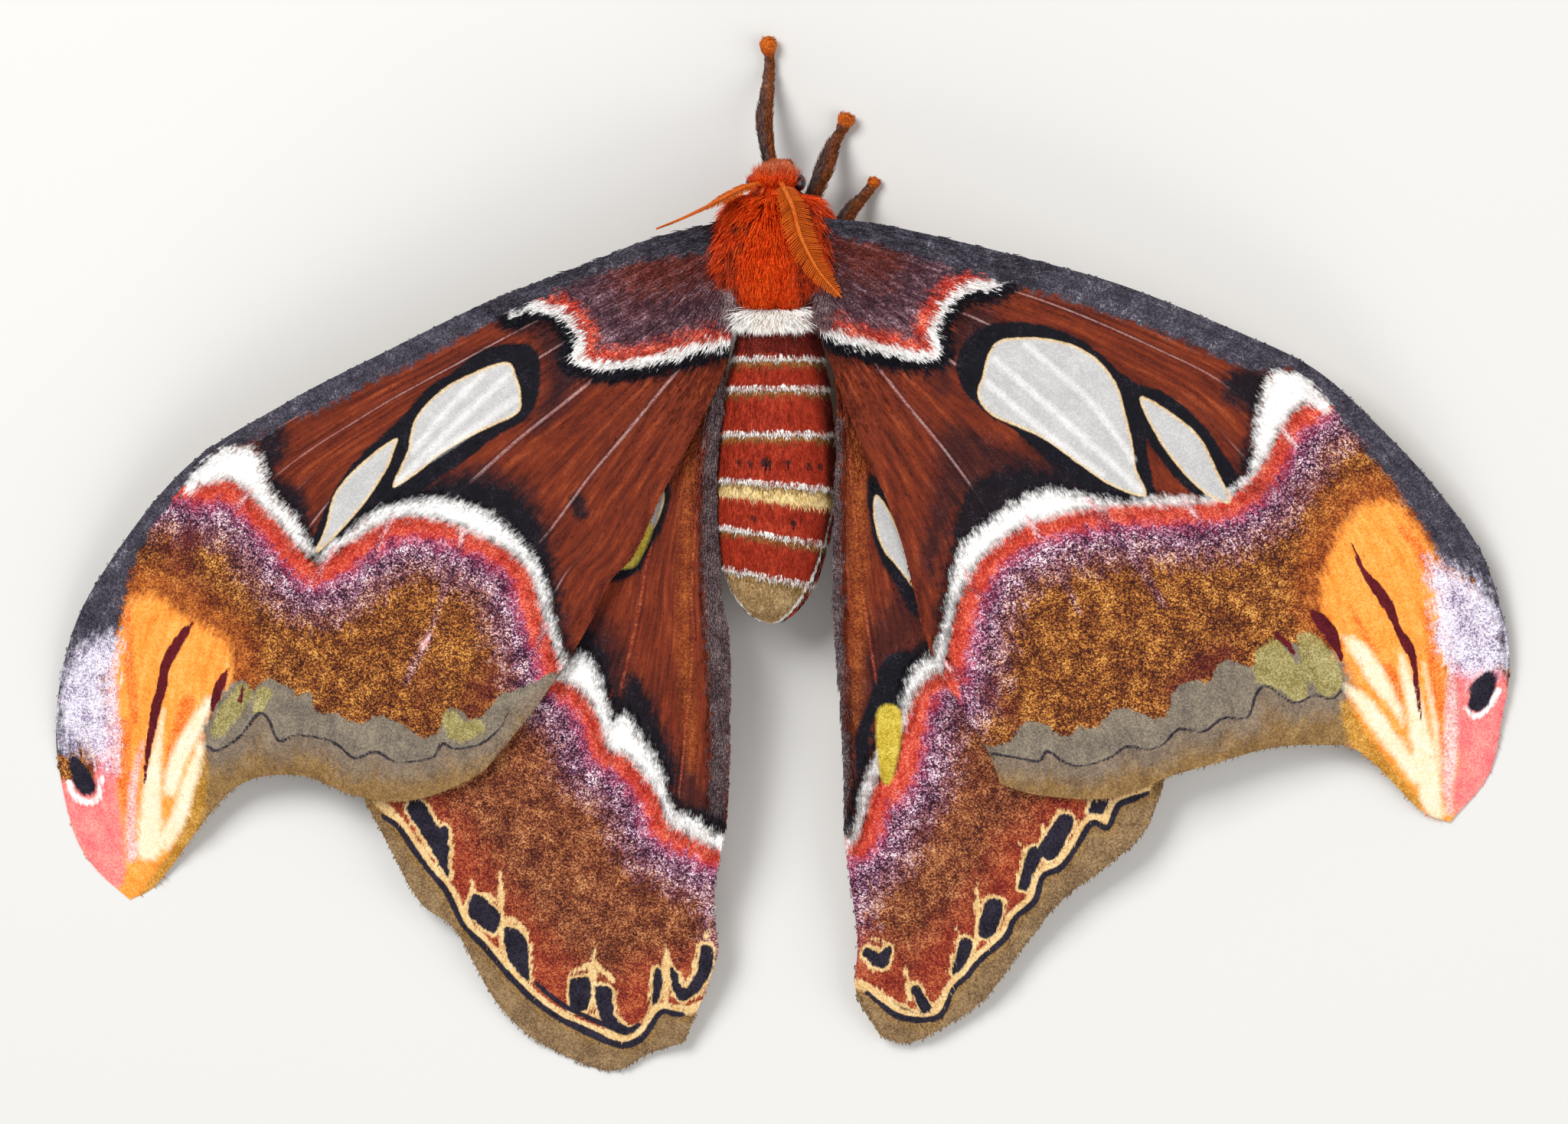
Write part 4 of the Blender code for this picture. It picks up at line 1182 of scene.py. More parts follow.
FORE_RIGHT_MARKS = Marks({
    "thumb": stroke((1600,520,3, 12,6,4)),
    "dusk": areas((1330,590, 70,10, 70,40, -50,10, -80,-10, -70,0, -35,50, -20,70, -5,-60, 15,-70,
        15,-70, 50,15), (1240,480, 22,-25, 38,-35, -25,-20, -35,30, -18,50, 13,30)),
    "rim_black": areas((1256,505, -7,-25, 6,-25, 15,-20, 25,-12, 35,-3, 38,6, 37,14, 35,24, 25,23,
        25,16, 30,8, 28,20, 27,27, 22,32, 17,25, 2,25, -10,24, -26,-9, -25,-12, -25,-25, -22,-28,
        -10,-15, 4,30, 6,35, -5,16, -33,1, -40,-12, -50,-33, -45,-40, -17,-16, -22,-10, -23,-19)),
    "inner_black": areas((1222,880, -1,-60, 9,-55, 8,-43, 6,-37, 12,-35, 26,-28, 40,-12, 44,1,
        38,9, 36,20, 30,15, -40,10, -50,-5, -50,20, -40,30, -28,50, -17,80), (1596,498, 16,-16,
        28,-4, 16,14, -6,48, -4,40, -6,32, -16,18, -16,-4, 10,-26, 11,-32, 4,-23, -13,-15,
        -16,-15)),
    "beyond": areas((1200,940, 26,-40, 12,-50, 10,-50, 14,-38, 18,-30, 28,-29, 37,-21, 45,-13,
        40,-8, 50,-4, 50,0, 40,-2, 30,-6, 28,-18, 20,-25, 15,-26, 11,-24, 18,-20, 23,-14, 65,-32,
        320,-10, 0,720, -1000,0)),
    "vein_out": stroke((1258,740,3, 32,60,2, 28,70,1), (1340,672,4, 35,58,3, 35,70,1), (1420,650,5,
        50,60,5, 50,80,2), (1545,652,4, 55,68,2), (1672,556,4, 58,74,1), (1232,860,3, 30,40,2,
        28,40,1)),
    "crimson": stroke((1290,900,8, 28,30,12, 12,15,5), (1530,900,12, 30,-20,18, 40,-30,16),
        (1640,640,10, 80,0,8)),
    "white": areas((1210,915, 11,-65, 15,-60, 5,-35, 15,-46, 32,-28, 46,-33, 43,-11, 48,9, 47,7,
        48,-6, 44,2, 36,-9, 22,-16, 12,-19, 3,-37, 3,-28, 6,-28, 9,-20, 25,-8, 24,14, 8,20, -22,18,
        -18,24, -11,24, -16,26, -20,23, -25,20, -30,4, -40,3, -50,0, -55,4, -37,8, -46,13, -36,21,
        -29,29, -19,31, -13,36, -11,48, -8,52)),
    "window": areas((1308,444, 46,-3, 49,10, 35,23, 22,31, 9,30, 10,43, 5,34, 13,36, -44,-13,
        -46,-31, -42,-30, -42,-19, -31,-15, -15,-24, 7,-26, 7,-27), (1489,518, 44,23, 35,31, 20,39,
        20,45, -32,-10, -35,-34, -30,-42)),
    "window_vein": stroke((1300,470,0.6, 80,70,1.6, 110,100,0.6), (1340,450,0.5, 80,70,1.0,
        60,80,0.5), (1290,500,0.4, 70,60,1.0, 80,60,0.4)),
    "beyond_lobes": areas((1240,990, 60,-15, 22,-10, 12,-19, 16,-4, 18,5, 18,15, 13,-1, 13,-11,
        18,1, 19,-19, 21,-7, 28,11, 12,2, 15,-7, 11,-31, 27,-11, 17,3, 10,-22, 22,-6, 24,8, 14,-22,
        50,-10, 65,20, 65,40, 70,350, -700,0)),
    "lobes": areas((1640,854, 16,-16, 16,0, 16,22, 16,18, 3,30, -13,8, -22,-14, -16,-8, -16,-5),
        (1694,835, 13,-10, 16,8, 19,24, 10,21, -2,24, -19,8, -16,-16, -13,-16)),
    "hem": areas((1240,990, 56,-6, 34,6, 27,4, 11,-13, 23,15, 23,4, 35,-10, 23,-15, 26,4, 20,-6,
        23,-21, 30,4, 27,-18, 31,-1, 11,-29, 15,-12, 35,22, 27,-10, 24,5, 16,-18, 33,-5, 110,360,
        -700,0)),
    "hem_line": stroke((1296,984,2, 34,6,1.6, 27,4,2, 11,-13,2.2, 23,15,1.8, 23,4,1.4, 35,-10,1.4,
        23,-15,2.2, 26,4,1.5, 20,-6,1.4, 23,-21,2, 30,4,1.6, 27,-18,2, 31,-1,1.6, 11,-29,2.4,
        15,-12,1.8, 35,22,1.8, 27,-10,1.6, 24,5,1.6, 16,-18,1.8, 12,-3,1)),
    "tip": areas((1765,668, 35,-18, 32,10, 30,40, 22,38, 13,37, -5,75, 3,50, 10,60, 35,40, -10,70,
        -37,25, -48,-20, -45,-60, -32,-30, -8,-55, 4,-35, -12,-27, -12,-28, -14,-35, -4,-40,
        16,-50)),
    "tip_cream": stroke((1753,832,3, 15,10,9, 17,20,12, 13,22,13, 16,24,9, 11,19,6, 8,21,2),
        (1830,857,3, 7,27,8, 8,24,10, 5,26,12, 5,27,14, 8,40,16, 7,41,15, 6,21,10), (1758,897,4,
        19,16,10, 18,24,12, 19,27,12, 19,24,11, 16,27,9), (1859,867,2, 9,41,3, 6,40,4, 6,53,4)),
    "tip_pink": stroke((1897,862,5, 0,46,9, 0,40,11, -2,40,11, -3,40,9, 2,32,6), (1876,745,6,
        8,45,8, 2,40,8, 6,36,5)),
    "tip_ember": stroke((1811,873,8, 14,21,6, 3,27,4.5, 5,25,1), (1862,800,4, 6,30,7, 8,51,10,
        5,53,8, 1,41,4, 2,29,1), (1830,690,6, 26,30,7, 12,30,5), (1765,795,3, 21,41,4, 14,16,3)),
    "tip_hem": stroke((1756,922,6, 12,28,12, 20,34,14, 20,24,13, 22,24,11, 20,18,8)),
    "tip_rose": areas((1903,905, -1,-33, 28,-4, 35,12, 7,57, -12,48, -13,35, -23,32, -21,16,
        -5,-26, 6,-41, 2,-41)),
    "streak": stroke((1766,710,1, 12,31,3, 12,17,6, 16,21,8, 12,22,6, 8,21,4.5, 11,19,7.5, 8,16,5,
        3,18,3, 2,19,3.5, 4,27,2.5, 2,19,1), (1712,798,4, 16,16,9, 14,21,8, 7,17,4, 6,18,1),
        (1668,828,4, 15,15,4, 11,17,1)),
    "root": areas((1000,200, 400,50, -92,112, -38,9, -27,14, -17,22, -11,25, 5,26, -30,3, -40,-10,
        -40,-12, -35,-15, -85,-24)),
    "costal": areas((1060,308, 30,1, 45,10, 50,13, 60,18, 45,14, 50,14, 70,20, 75,26, 75,29, 40,18,
        50,15, 35,-2, 27,24, 40,40, 38,46, 35,46, 35,50, 26,45, 26,17, 24,34, 19,49, 7,35, 88,0,
        0,-670, -1050,0)),
    "corner": stroke((1668,492,10, 32,14,12, 35,29,5)),
    "frost": areas((1868,735, 28,7, 33,20, 24,33, 10,35, 1,48, -24,6, -20,4, -12,-8, -16,-18,
        -14,-32, -4,-43)),
    "eye_moon": stroke((1915,924,2, 7,8,3, 10,3,3, 11,-11,3, 9,-15,4.5, 5,-9,3)),
    "eye_spot": areas((1920,896, 6,-7, 8,-7, 19,-6, 0,24, -11,20, -12,10, -11,-5, -1,-15)),
}, FORE_LAYERS)

FORE_LEFT_MARKS = Marks({
    "thumb": stroke((755,655,9, 3,13,8)),
    "dusk": areas((500,665, 60,-35, 70,-20, 60,30, 22,60, 23,100, 10,60, -45,-100, -60,-70,
        -80,-30), (700,560, 20,-60, -20,-60, -20,-20, 40,0, 40,50, -20,50)),
    "rim_black": areas((706,490, -2,-25, -14,-15, -35,0, -33,13, -32,23, -30,19, -32,36, -23,23,
        -33,30, -27,33, -21,40, -21,55, 15,8, 27,-20, 35,-37, 20,4, 30,-20, 42,-31, 40,-27, 33,-26,
        23,-14, 22,-14, 13,-25)),
    "inner_black": areas((488,676, 42,-33, 55,-17, 50,0, 45,22, 28,36, 14,44, 7,50, 7,54, 14,48,
        -28,-30, -20,-60, -20,-40, -40,-38, -52,-20, -60,-5), (336,570, 16,-14, 22,2, 2,22, -10,25,
        -4,15, 22,10, 16,23, 8,37, 6,32, -18,-16, -16,-33, -25,-27, -13,-31)),
    "beyond": areas((755,925, -19,-53, -19,-50, -13,-41, -11,-34, -24,-26, -34,-20, -31,-14,
        -34,-10, -40,-4, -32,10, -33,20, -25,17, -28,16, -22,-23, -12,-14, -18,-22, -22,-21,
        -18,-19, -24,-11, -34,4, -42,-10, -220,-20, 0,700, 700,0, 100,-340)),
    "vein_out": stroke((715,815,4, -15,35,3, -20,50,1), (607,690,4, -22,70,3, -25,70,1),
        (515,672,4, -35,68,3, -40,80,1), (440,712,4, -50,78,2), (330,640,4, -50,50,2), (735,870,3,
        -20,35,2), (560,830,5, -30,60,3)),
    "crimson": stroke((650,878,14, -20,27,18, -14,25,8), (250,700,16, -25,35,16, 35,25,10),
        (560,880,6, -10,40,4)),
    "white": areas((262,630, 8,-28, 30,-17, 30,-2, 15,17, 6,28, 12,20, 18,18, 15,24, 16,36, -16,-8,
        -16,-16, -20,-24, -22,-21, -16,-19, -26,-12, -21,6), (413,730, 17,-20, 25,-16, 30,-25,
        40,-15, 35,-4, 30,0, 32,11, 30,14, 31,30, 20,26, 13,34, 8,40, 13,45, 13,38, -12,-12,
        -21,-51, -13,-43, -11,-34, -24,-26, -34,-20, -31,-14, -34,-10, -40,-4, -30,9, -35,20,
        -25,14, -20,17)),
    "window": areas((663,473, 13,22, 5,23, -5,22, -36,18, -34,17, -33,20, -28,23, -32,18, 20,-47,
        9,-40, 31,-36, 45,-26), (518,572, -4,20, -8,20, -26,40, -32,38, -36,34, 14,-37, 13,-44,
        36,-40)),
    "window_vein": stroke((665,490,0.6, -65,60,1.6, -80,80,0.6), (675,520,0.5, -55,40,1.0,
        -60,40,0.5), (630,490,0.4, -50,50,1.0, -40,50,0.4)),
    "beyond_lobes": areas((230,960, 32,-15, 15,-11, 8,-29, 15,-12, 21,-3, 9,15, 14,-17, 18,2, 17,8,
        11,12, 14,-6, 8,21, 11,8, 17,-1, 25,13, 25,-9, 29,6, 21,14, 14,6, 18,-4, 8,-23, 10,-10,
        14,5, 16,10, 20,-15, 24,-20, 96,-5, -60,350, -550,0)),
    "lobes": stroke((318,905,12, -18,25,14, -15,25,9), (590,940,12, 10,15,14, 25,-5,10),
        (345,905,9, -7,20,7)),
    "hem": areas((220,965, 44,6, 19,10, 32,-20, 22,-28, 13,6, 14,29, 21,-8, 38,5, 20,9, 20,16,
        27,-8, 26,13, 27,-1, 24,-6, 11,-17, 17,7, 34,-7, 24,-20, 15,-26, 92,-25, -60,350, -550,0)),
    "hem_line": stroke((262,970,1, 10,6,2, 11,5,2, 17,-9,1.6, 15,-11,2, 22,-28,2.2, 13,6,2,
        14,29,2.2, 21,-8,1.6, 38,5,1.6, 20,9,2, 20,16,1.8, 27,-8,2.2, 26,13,1.6, 27,-1,1.5,
        24,-6,1.6, 11,-17,2, 17,7,1.6, 34,-7,1.6, 24,-20,1.6, 11,-21,1)),
    "tip": areas((172,780, 33,-4, 32,22, 27,15, 35,25, 8,37, -9,25, -20,17, -12,33, -4,50, -12,65,
        -15,50, -27,55, -33,20, -35,-20, -45,-65, 25,-55, 26,-35, -4,-65, -4,-50, 3,-45, 14,-40)),
    "tip_cream": stroke((213,928,2, -5,37,5, -8,46,11, -3,46,14, -3,51,17), (273,915,6, -13,25,10,
        -16,30,12, -12,25,11, -10,35,11), (262,974,5, -6,21,8, -10,31,10, -12,40,11, -20,34,12)),
    "tip_pink": stroke((187,968,2, -7,27,5, -6,31,6, -3,46,7, 1,46,9), (146,840,6, 0,60,8, 3,60,8,
        4,50,5)),
    "tip_ember": stroke((246,915,8, -6,19,9, -12,31,7, -8,30,4, -4,37,1), (160,950,12, 1,30,11,
        1,40,9, 4,52,4, 1,27,1), (166,800,6, 2,50,6, 4,55,7, 4,35,6)),
    "tip_hem": stroke((264,985,6, -5,45,11, -7,42,12, -17,36,11, -23,32,9, -22,26,6)),
    "tip_rose": areas((134,950, 13,15, 4,45, 5,47, 7,42, 1,41, -6,20, -18,5, -28,-45, -32,-55,
        -2,-45, 26,10, 18,-10)),
    "streak": stroke((253,812,1.5, -11,13,5, -11,17,7, -10,18,7, -6,16,6.5, -5,28,6.5, -5,16,7,
        -3,16,6.5, -3,17,5, -6,30,4, -6,43,1), (300,872,1, -14,26,7, -9,30,2), (320,890,1,
        -6,25,3)),
    "root": areas((1040,200, -400,100, 24,100, 26,-2, 28,2, 24,11, 16,19, 4,20, -7,17, 30,8, 35,-2,
        40,-7, 40,-12, 45,-13, 95,-21)),
    "costal": areas((960,332, -50,-1, -50,6, -50,11, -50,19, -50,22, -30,16, -43,20, -42,21,
        -55,30, -50,22, -50,28, -40,16, -34,16, -32,16, -26,10, -24,14, -24,22, -26,26, -26,32,
        -24,36, -16,46, -10,50, -11,38, -17,24, -11,30, -13,40, -8,36, -38,7, -60,-85, 60,-250,
        340,-270, 560,-180)),
    "corner": stroke((300,592,10, -28,20,10, -27,28,5)),
    "frost": areas((152,836, -8,64, 2,50, 2,50, -14,2, -14,-17, -14,-9, -18,6, -10,-48, 8,-61,
        18,-27, 26,-10)),
    "eye_moon": stroke((90,1022,3, 8,18,4, 16,8,3.5, 15,-6,3, 4,-26,2)),
    "eye_spot": stroke((96,994,7, 8,15,12, 9,18,12.5)),
}, FORE_LAYERS)

HIND_LEFT_MARKS = Marks({
    "dusk": areas((700,800, 80,0, 50,80, 50,100, 50,60, 20,40, -50,-5, -50,-75, -60,-100,
        -60,-40)),
    "glow": stroke((905,560,6, -7,140,8, -3,150,8, 10,150,5)),
    "strip": stroke((945,500,14, -11,120,15, 0,138,15, 8,142,14, -2,100,12, -4,70,9)),
    "rim_black": areas((868,610, 8,40, -14,45, -16,29, -13,24, -35,12, -8,-22, 22,-23, 8,-25,
        18,-35, 14,-37)),
    "inner_black": areas((722,872, 13,-37, 27,-23, 28,33, 12,40, 6,20, 22,-25, 22,40, 20,45, 10,35,
        4,35, 19,17, 40,8, 10,35, -65,-13, -30,-40, -30,-55, -30,-25, -25,-60, -25,-26)),
    "beyond": areas((700,860, 28,22, 18,11, 20,15, 20,37, 11,32, 17,7, 27,26, 21,31, 11,31, 21,13,
        37,20, 49,25, 0,370, -580,0, 0,-620)),
    "white": areas((724,884, 18,-18, 17,-18, 18,16, 16,46, 8,28, 15,-10, 17,21, 20,32, 15,33,
        10,35, 18,12, 26,12, 33,19, 0,24, -24,-10, -37,-20, -22,-14, -11,-30, -21,-32, -26,-26,
        -19,-6, -10,-33, -20,-37, -20,-15)),
    "window": areas((860,628, 9,22, -13,38, -10,2, -4,-26, 8,-24)),
    "lime": areas((846,676, 6,18, -10,24, -12,20, -20,4, 2,-20, 12,-22)),
    "hem": areas((440,1040, 60,20, 40,48, 20,28, 24,30, 21,42, 24,24, 30,36, 33,33, 36,27, 36,18,
        51,18, 27,-12, 21,-30, 30,3, 47,5, -40,170, -500,-50)),
    "spots": areas((614,1171, 13,-2, 16,13, 11,11, -3,18, -8,8, -19,-13, -12,-11), (659,1211, 16,3,
        14,16, 2,24, 0,27, -13,-5, -14,-22, -5,-21), (747,1278, 22,-1, 3,20, -8,22, -19,1, 0,-23),
        (778,1289, 20,3, 3,19, 5,21, 22,11, 11,-3, 0,5, -22,8, -21,-10, -14,-19), (857,1265, 8,3,
        0,21, -8,22, -5,-3, 1,-27), (876,1260, 9,13, 5,17, 10,-4, 11,-21, 5,-30, 14,3, 2,16, -5,19,
        -13,21, -22,14, -11,-11, -5,-21), (540,1040, 16,12, 16,26, 12,2, 2,19, 0,48, -10,-16,
        -16,-27, -14,-24, -14,-20)),
    "spikes": stroke((616,1148,2, 3,18,4, 17,4,4, 16,8,3), (654,1138,0.8, 1,27,3, 0,35,4, 0,26,4,
        2,24,2), (660,1200,4, 18,6,4, 10,12,2), (776,1230,0.8, 0,22,3, -2,18,6, 0,30,4, -1,30,3),
        (748,1272,3, 18,-10,4, 18,4,4, 16,14,3), (871,1234,1, 0,18,5, -3,18,5, 3,20,4, -3,28,3),
        (927,1207,1.5, -3,15,3, -16,40,3, -8,16,2)),
    "hem_line": stroke((500,1066,2, 20,14,2.5, 20,28,3, 20,28,2, 24,30,3, 21,42,2, 24,24,3,
        30,36,2.5, 33,33,3, 36,27,2.5, 36,18,4, 36,16,3, 22,2,3.5, 20,-12,3, 21,-30,2, 17,2,2.5,
        13,1,1.5), (700,1284,1.5, 35,28,2, 40,20,2, 40,14,2, 21,-8,1.5)),
}, HIND_LAYERS)

HIND_RIGHT_MARKS = Marks({
    "dusk": areas((1230,820, -50,20, -40,80, -30,90, -10,80, -5,-90, 15,-100, 40,-100, 50,-40)),
    "glow": stroke((1118,560,10, 4,140,11, -2,130,9, -2,120,5)),
    "strip": stroke((1092,540,7, -1,234,9, 4,126,9, 8,100,7, 3,78,4)),
    "rim_black": areas((1133,622, 15,6, 22,40, 30,70, 10,54, -14,14, -32,-51, -17,-27, -11,-48),
        (1140,900, 15,-40, 30,-10, 13,22, -14,33, -4,20, -30,7, -12,18, -4,35, -14,25, -2,-50)),
    "inner_black": areas((1250,835, -40,-3, -32,18, -18,40, -10,35, -15,35, -20,50, -10,40, -7,50,
        14,0, 16,-60, 18,-55, 32,-55, 12,-40, 25,-25, 35,-5)),
    "beyond": areas((1260,860, -24,12, -19,8, -15,16, -15,30, -6,34, -8,40, -13,23, -12,-1, -9,14,
        -8,27, -12,33, -39,29, -20,375, 540,0, 0,-650)),
    "white": areas((1260,846, -28,4, -18,3, -17,11, -14,23, -6,38, -2,32, 9,-20, 9,-30, 13,-17,
        17,-12, 37,-10), (1147,978, -11,22, -11,30, -6,30, -14,35, -5,21, 17,-22, 12,-32, 8,-30,
        10,-20)),
    "window": areas((1143,648, 12,8, 18,34, 19,51, 4,28, -24,-29, -19,-24, -11,-36)),
    "lime": areas((1146,930, 16,-10, 15,8, 0,34, -11,56, -13,2, -7,-40)),
    "hem": areas((1540,1000, -40,36, -22,8, -18,9, -13,28, -21,-6, -22,34, -18,24, -24,12, -10,31,
        -27,24, -12,25, -34,30, -15,19, -19,18, -27,40, -40,-3, -28,-18, -30,-21, -60,0, 40,210,
        550,-200)),
    "spots": stroke((1391,1074,12, -20,35,14), (1351,1116,10, -13,40,8), (1441,1038,10, -9,20,10),
        (1298,1186,13, -9,28,12), (1261,1233,9, -10,35,8), (1196,1292,6, 16,28,8), (1134,1244,7,
        16,12,9, 10,-16,5), (1136,1292,3, 29,22,5, 39,16,5)),
    "spikes": stroke((1362,1078,1, 6,22,3, 4,26,3), (1330,1100,1, 14,18,3, 6,28,3), (1276,1150,1,
        0,30,4, 2,30,4, -6,36,3), (1248,1210,1, 8,14,3, 8,12,2), (1182,1262,1, 4,22,4, 4,20,4),
        (1140,1226,2, 20,10,2, -10,30,3)),
    "hem_line": stroke((1500,1036,1.5, -22,8,3, -18,9,3, -13,28,2.5, -21,-6,3, -22,34,2.5,
        -18,24,3, -24,12,2.5, -10,31,3, -27,24,2.5, -12,25,3, -34,30,2.5, -15,19,2.5, -19,18,2,
        -19,36,2.5, -48,1,3, -28,-18,2, -18,-15,1.5)),
}, HIND_LAYERS)

WINGS = (
    Wing("forewing_right",
         front=pairs(5.1, 4.6, 14.0, 3.6, 29.3, 0.1, 44.6, -4.1, 59.9, -10.2, 70.5, -15.4, 79.7,
               -23.8, 86.8, -31.7, 92.5, -40.3, 95.6, -52.0, 94.6, -61.1, 92.8, -68.4, 87.8,
               -74.4),
         margin=pairs(87.8, -74.4, 83.8, -72.6, 76.3, -65.3, 71.2, -64.3, 64.4, -64.7, 56.8, -66.8,
               51.0, -68.5, 46.5, -70.5, 41.5, -71.4, 33.8, -70.8, 29.2, -69.4),
         inner=pairs(5.1, -5.5, 6.3, -12.1, 10.2, -23.0, 13.4, -30.1, 16.3, -38.0, 18.1, -45.1,
               20.2, -52.3, 24.5, -60.1, 27.5, -65.0, 29.2, -69.4),
         above=0.3, marks=FORE_RIGHT_MARKS),
    Wing("forewing_left",
         front=pairs(-6.5, 4.2, -16.5, 1.8, -25.5, -1.7, -37.5, -6.3, -50.9, -12.8, -64.3, -19.7,
               -77.6, -28.4, -88.8, -42.9, -93.0, -52.9, -94.2, -64.0, -92.0, -74.6, -89.0, -80.1,
               -84.3, -84.5),
         margin=pairs(-84.3, -84.5, -81.0, -82.4, -75.7, -75.3, -71.6, -70.5, -67.5, -68.5, -61.7,
               -68.4, -55.6, -70.8, -50.6, -71.7, -46.1, -71.2, -41.3, -69.4, -38.2, -67.6),
         inner=pairs(-6.5, -5.5, -6.4, -13.6, -11.0, -24.0, -15.0, -31.5, -18.6, -39.3, -21.7,
               -42.8, -24.4, -48.3, -27.5, -53.5, -32.0, -60.0, -38.2, -67.6),
         above=0.3, marks=FORE_LEFT_MARKS),
    Wing("hindwing_right",
         front=pairs(5.4, -3.2, 13.5, -12.0, 33.5, -29.0, 46.5, -49.0, 51.5, -62.0, 50.3, -69.9),
         margin=pairs(50.3, -69.9, 47.8, -75.7, 43.2, -80.0, 37.1, -84.6, 31.9, -91.0, 27.3, -97.2,
               21.8, -101.1, 17.2, -103.2, 13.5, -102.3),
         inner=pairs(5.4, -8.0, 7.6, -16.0, 7.9, -25.0, 7.4, -44.4, 8.8, -65.9, 9.1, -78.0, 10.5,
               -89.5, 10.3, -96.5, 13.5, -102.3),
         above=-1.5, main_veins=(0.20, 0.42, 0.64, 0.86), side_veins=(0.31, 0.53, 0.75),
         marks=HIND_RIGHT_MARKS, lines=130),
    Wing("hindwing_left",
         front=pairs(-6.6, -3.2, -14.5, -12.0, -31.5, -27.0, -45.5, -47.0, -51.5, -61.0, -53.9,
               -71.5),
         margin=pairs(-53.9, -71.5, -50.0, -78.9, -46.5, -85.0, -41.9, -88.7, -36.6, -98.0, -30.5,
               -103.4, -22.0, -106.8, -16.8, -104.6, -12.1, -103.1),
         inner=pairs(-6.6, -8.0, -6.9, -18.0, -7.9, -29.0, -7.4, -44.0, -6.3, -52.0, -6.6, -72.0,
               -8.3, -84.0, -8.0, -92.0, -12.1, -103.1),
         above=-1.5, main_veins=(0.20, 0.42, 0.64, 0.86), side_veins=(0.31, 0.53, 0.75),
         marks=HIND_LEFT_MARKS, lines=130),
)


FUR = Paint(((0.05, 158, 30, 0), (0.5, 222, 62, 2), (0.95, 242, 108, 32)))
FUR_RED = Paint(((0.05, 160, 28, 8), (0.5, 222, 66, 14), (0.95, 240, 108, 56)))
SEGMENT_RED = Paint(((0.1, 92, 16, 10), (0.5, 160, 46, 26), (0.95, 198, 80, 46)))
DEEP_RED = Paint(((0.1, 48, 12, 12), (0.5, 96, 26, 20), (0.95, 140, 48, 34)))
LAP_GREY = Paint(((0.2, 74, 52, 58), (0.5, 122, 96, 98), (0.8, 184, 162, 162)))
WOOL = Paint(((0.0, 240, 228, 214), (0.5, 255, 250, 244), (0.9, 255, 255, 252)))
BLOSSOM = Paint(((0.1, 150, 72, 38), (0.5, 190, 104, 64), (0.9, 226, 164, 132)))
TAN = Paint(((0.1, 132, 98, 56), (0.5, 178, 144, 96), (0.9, 212, 184, 140)))
CREAMY = Paint(((0.1, 196, 160, 92), (0.5, 226, 196, 132), (0.9, 244, 224, 176)))
BELLY = Paint(((0.1, 150, 96, 60), (0.5, 206, 168, 130), (0.9, 232, 210, 180)))
SOOT = Paint(((0.2, 16, 10, 14), (0.8, 44, 28, 32)))
LEG_MAUVE = Paint(((0.1, 42, 32, 32), (0.5, 80, 62, 58), (0.9, 128, 104, 98)))
LEG_RUST = Paint(((0.1, 66, 28, 8), (0.5, 122, 58, 16), (0.9, 170, 96, 34)))
FEELER_ORANGE = Paint(((0.1, 132, 52, 6), (0.5, 186, 82, 12), (0.9, 216, 124, 40)))
EYE_BLACK = Paint(((0.3, 6, 5, 8), (0.8, 34, 22, 26)))
EYE_PLACE = (2.75, 9.1, 12.8)

TRUNK_LAYERS = coats(
    ("tail", TAN, 0.0, 0.6, 0.6),
    ("shadow", DEEP_RED, 0.0, 1.6, 0.8, 0.8),
    ("waist", DEEP_RED, 0.0, 0.9, 0.9, 0.9),
    ("below", BELLY, 0.0, 1.4, 1.2),
    ("flank", SOOT, 0.0, 0.5, 0.4, 0.85),
    ("cream", CREAMY, 0.0, 0.4, 0.5),
    ("under_line", OCHRE, 0.0, 0.4, 0.5, 0.8),
    ("rims", FUR_RED, 0.0, 0.3, 0.2),
    ("line", WOOL, 0.0, 0.22, 0.45),
    ("dots", SOOT, 0.0, 0.2, 0.15, 0.9),
    ("spiracles", SOOT, 0.0, 0.2, 0.1),
    ("side", LAP_GREY, 0.0, 0.6, 0.8, 1.0, 0.6),
    ("collar", WOOL, 0.0, 0.5, 0.6),
    ("chest", FUR, 0.0, 0.6, 0.5),
    ("shoulder", FUR_RED, 0.0, 2.4, 1.0),
    # Painted shade in the groove between the middle and side lobes of the thorax's hair.
    ("gap", DEEP_RED, 0.0, 0.5, 0.4, 0.8),
    ("head", BLOSSOM, 0.0, 1.6, 1.0, 0.75),
    ("flecks", SOOT, 0.0, 0.25, 0.2, 0.8),
)


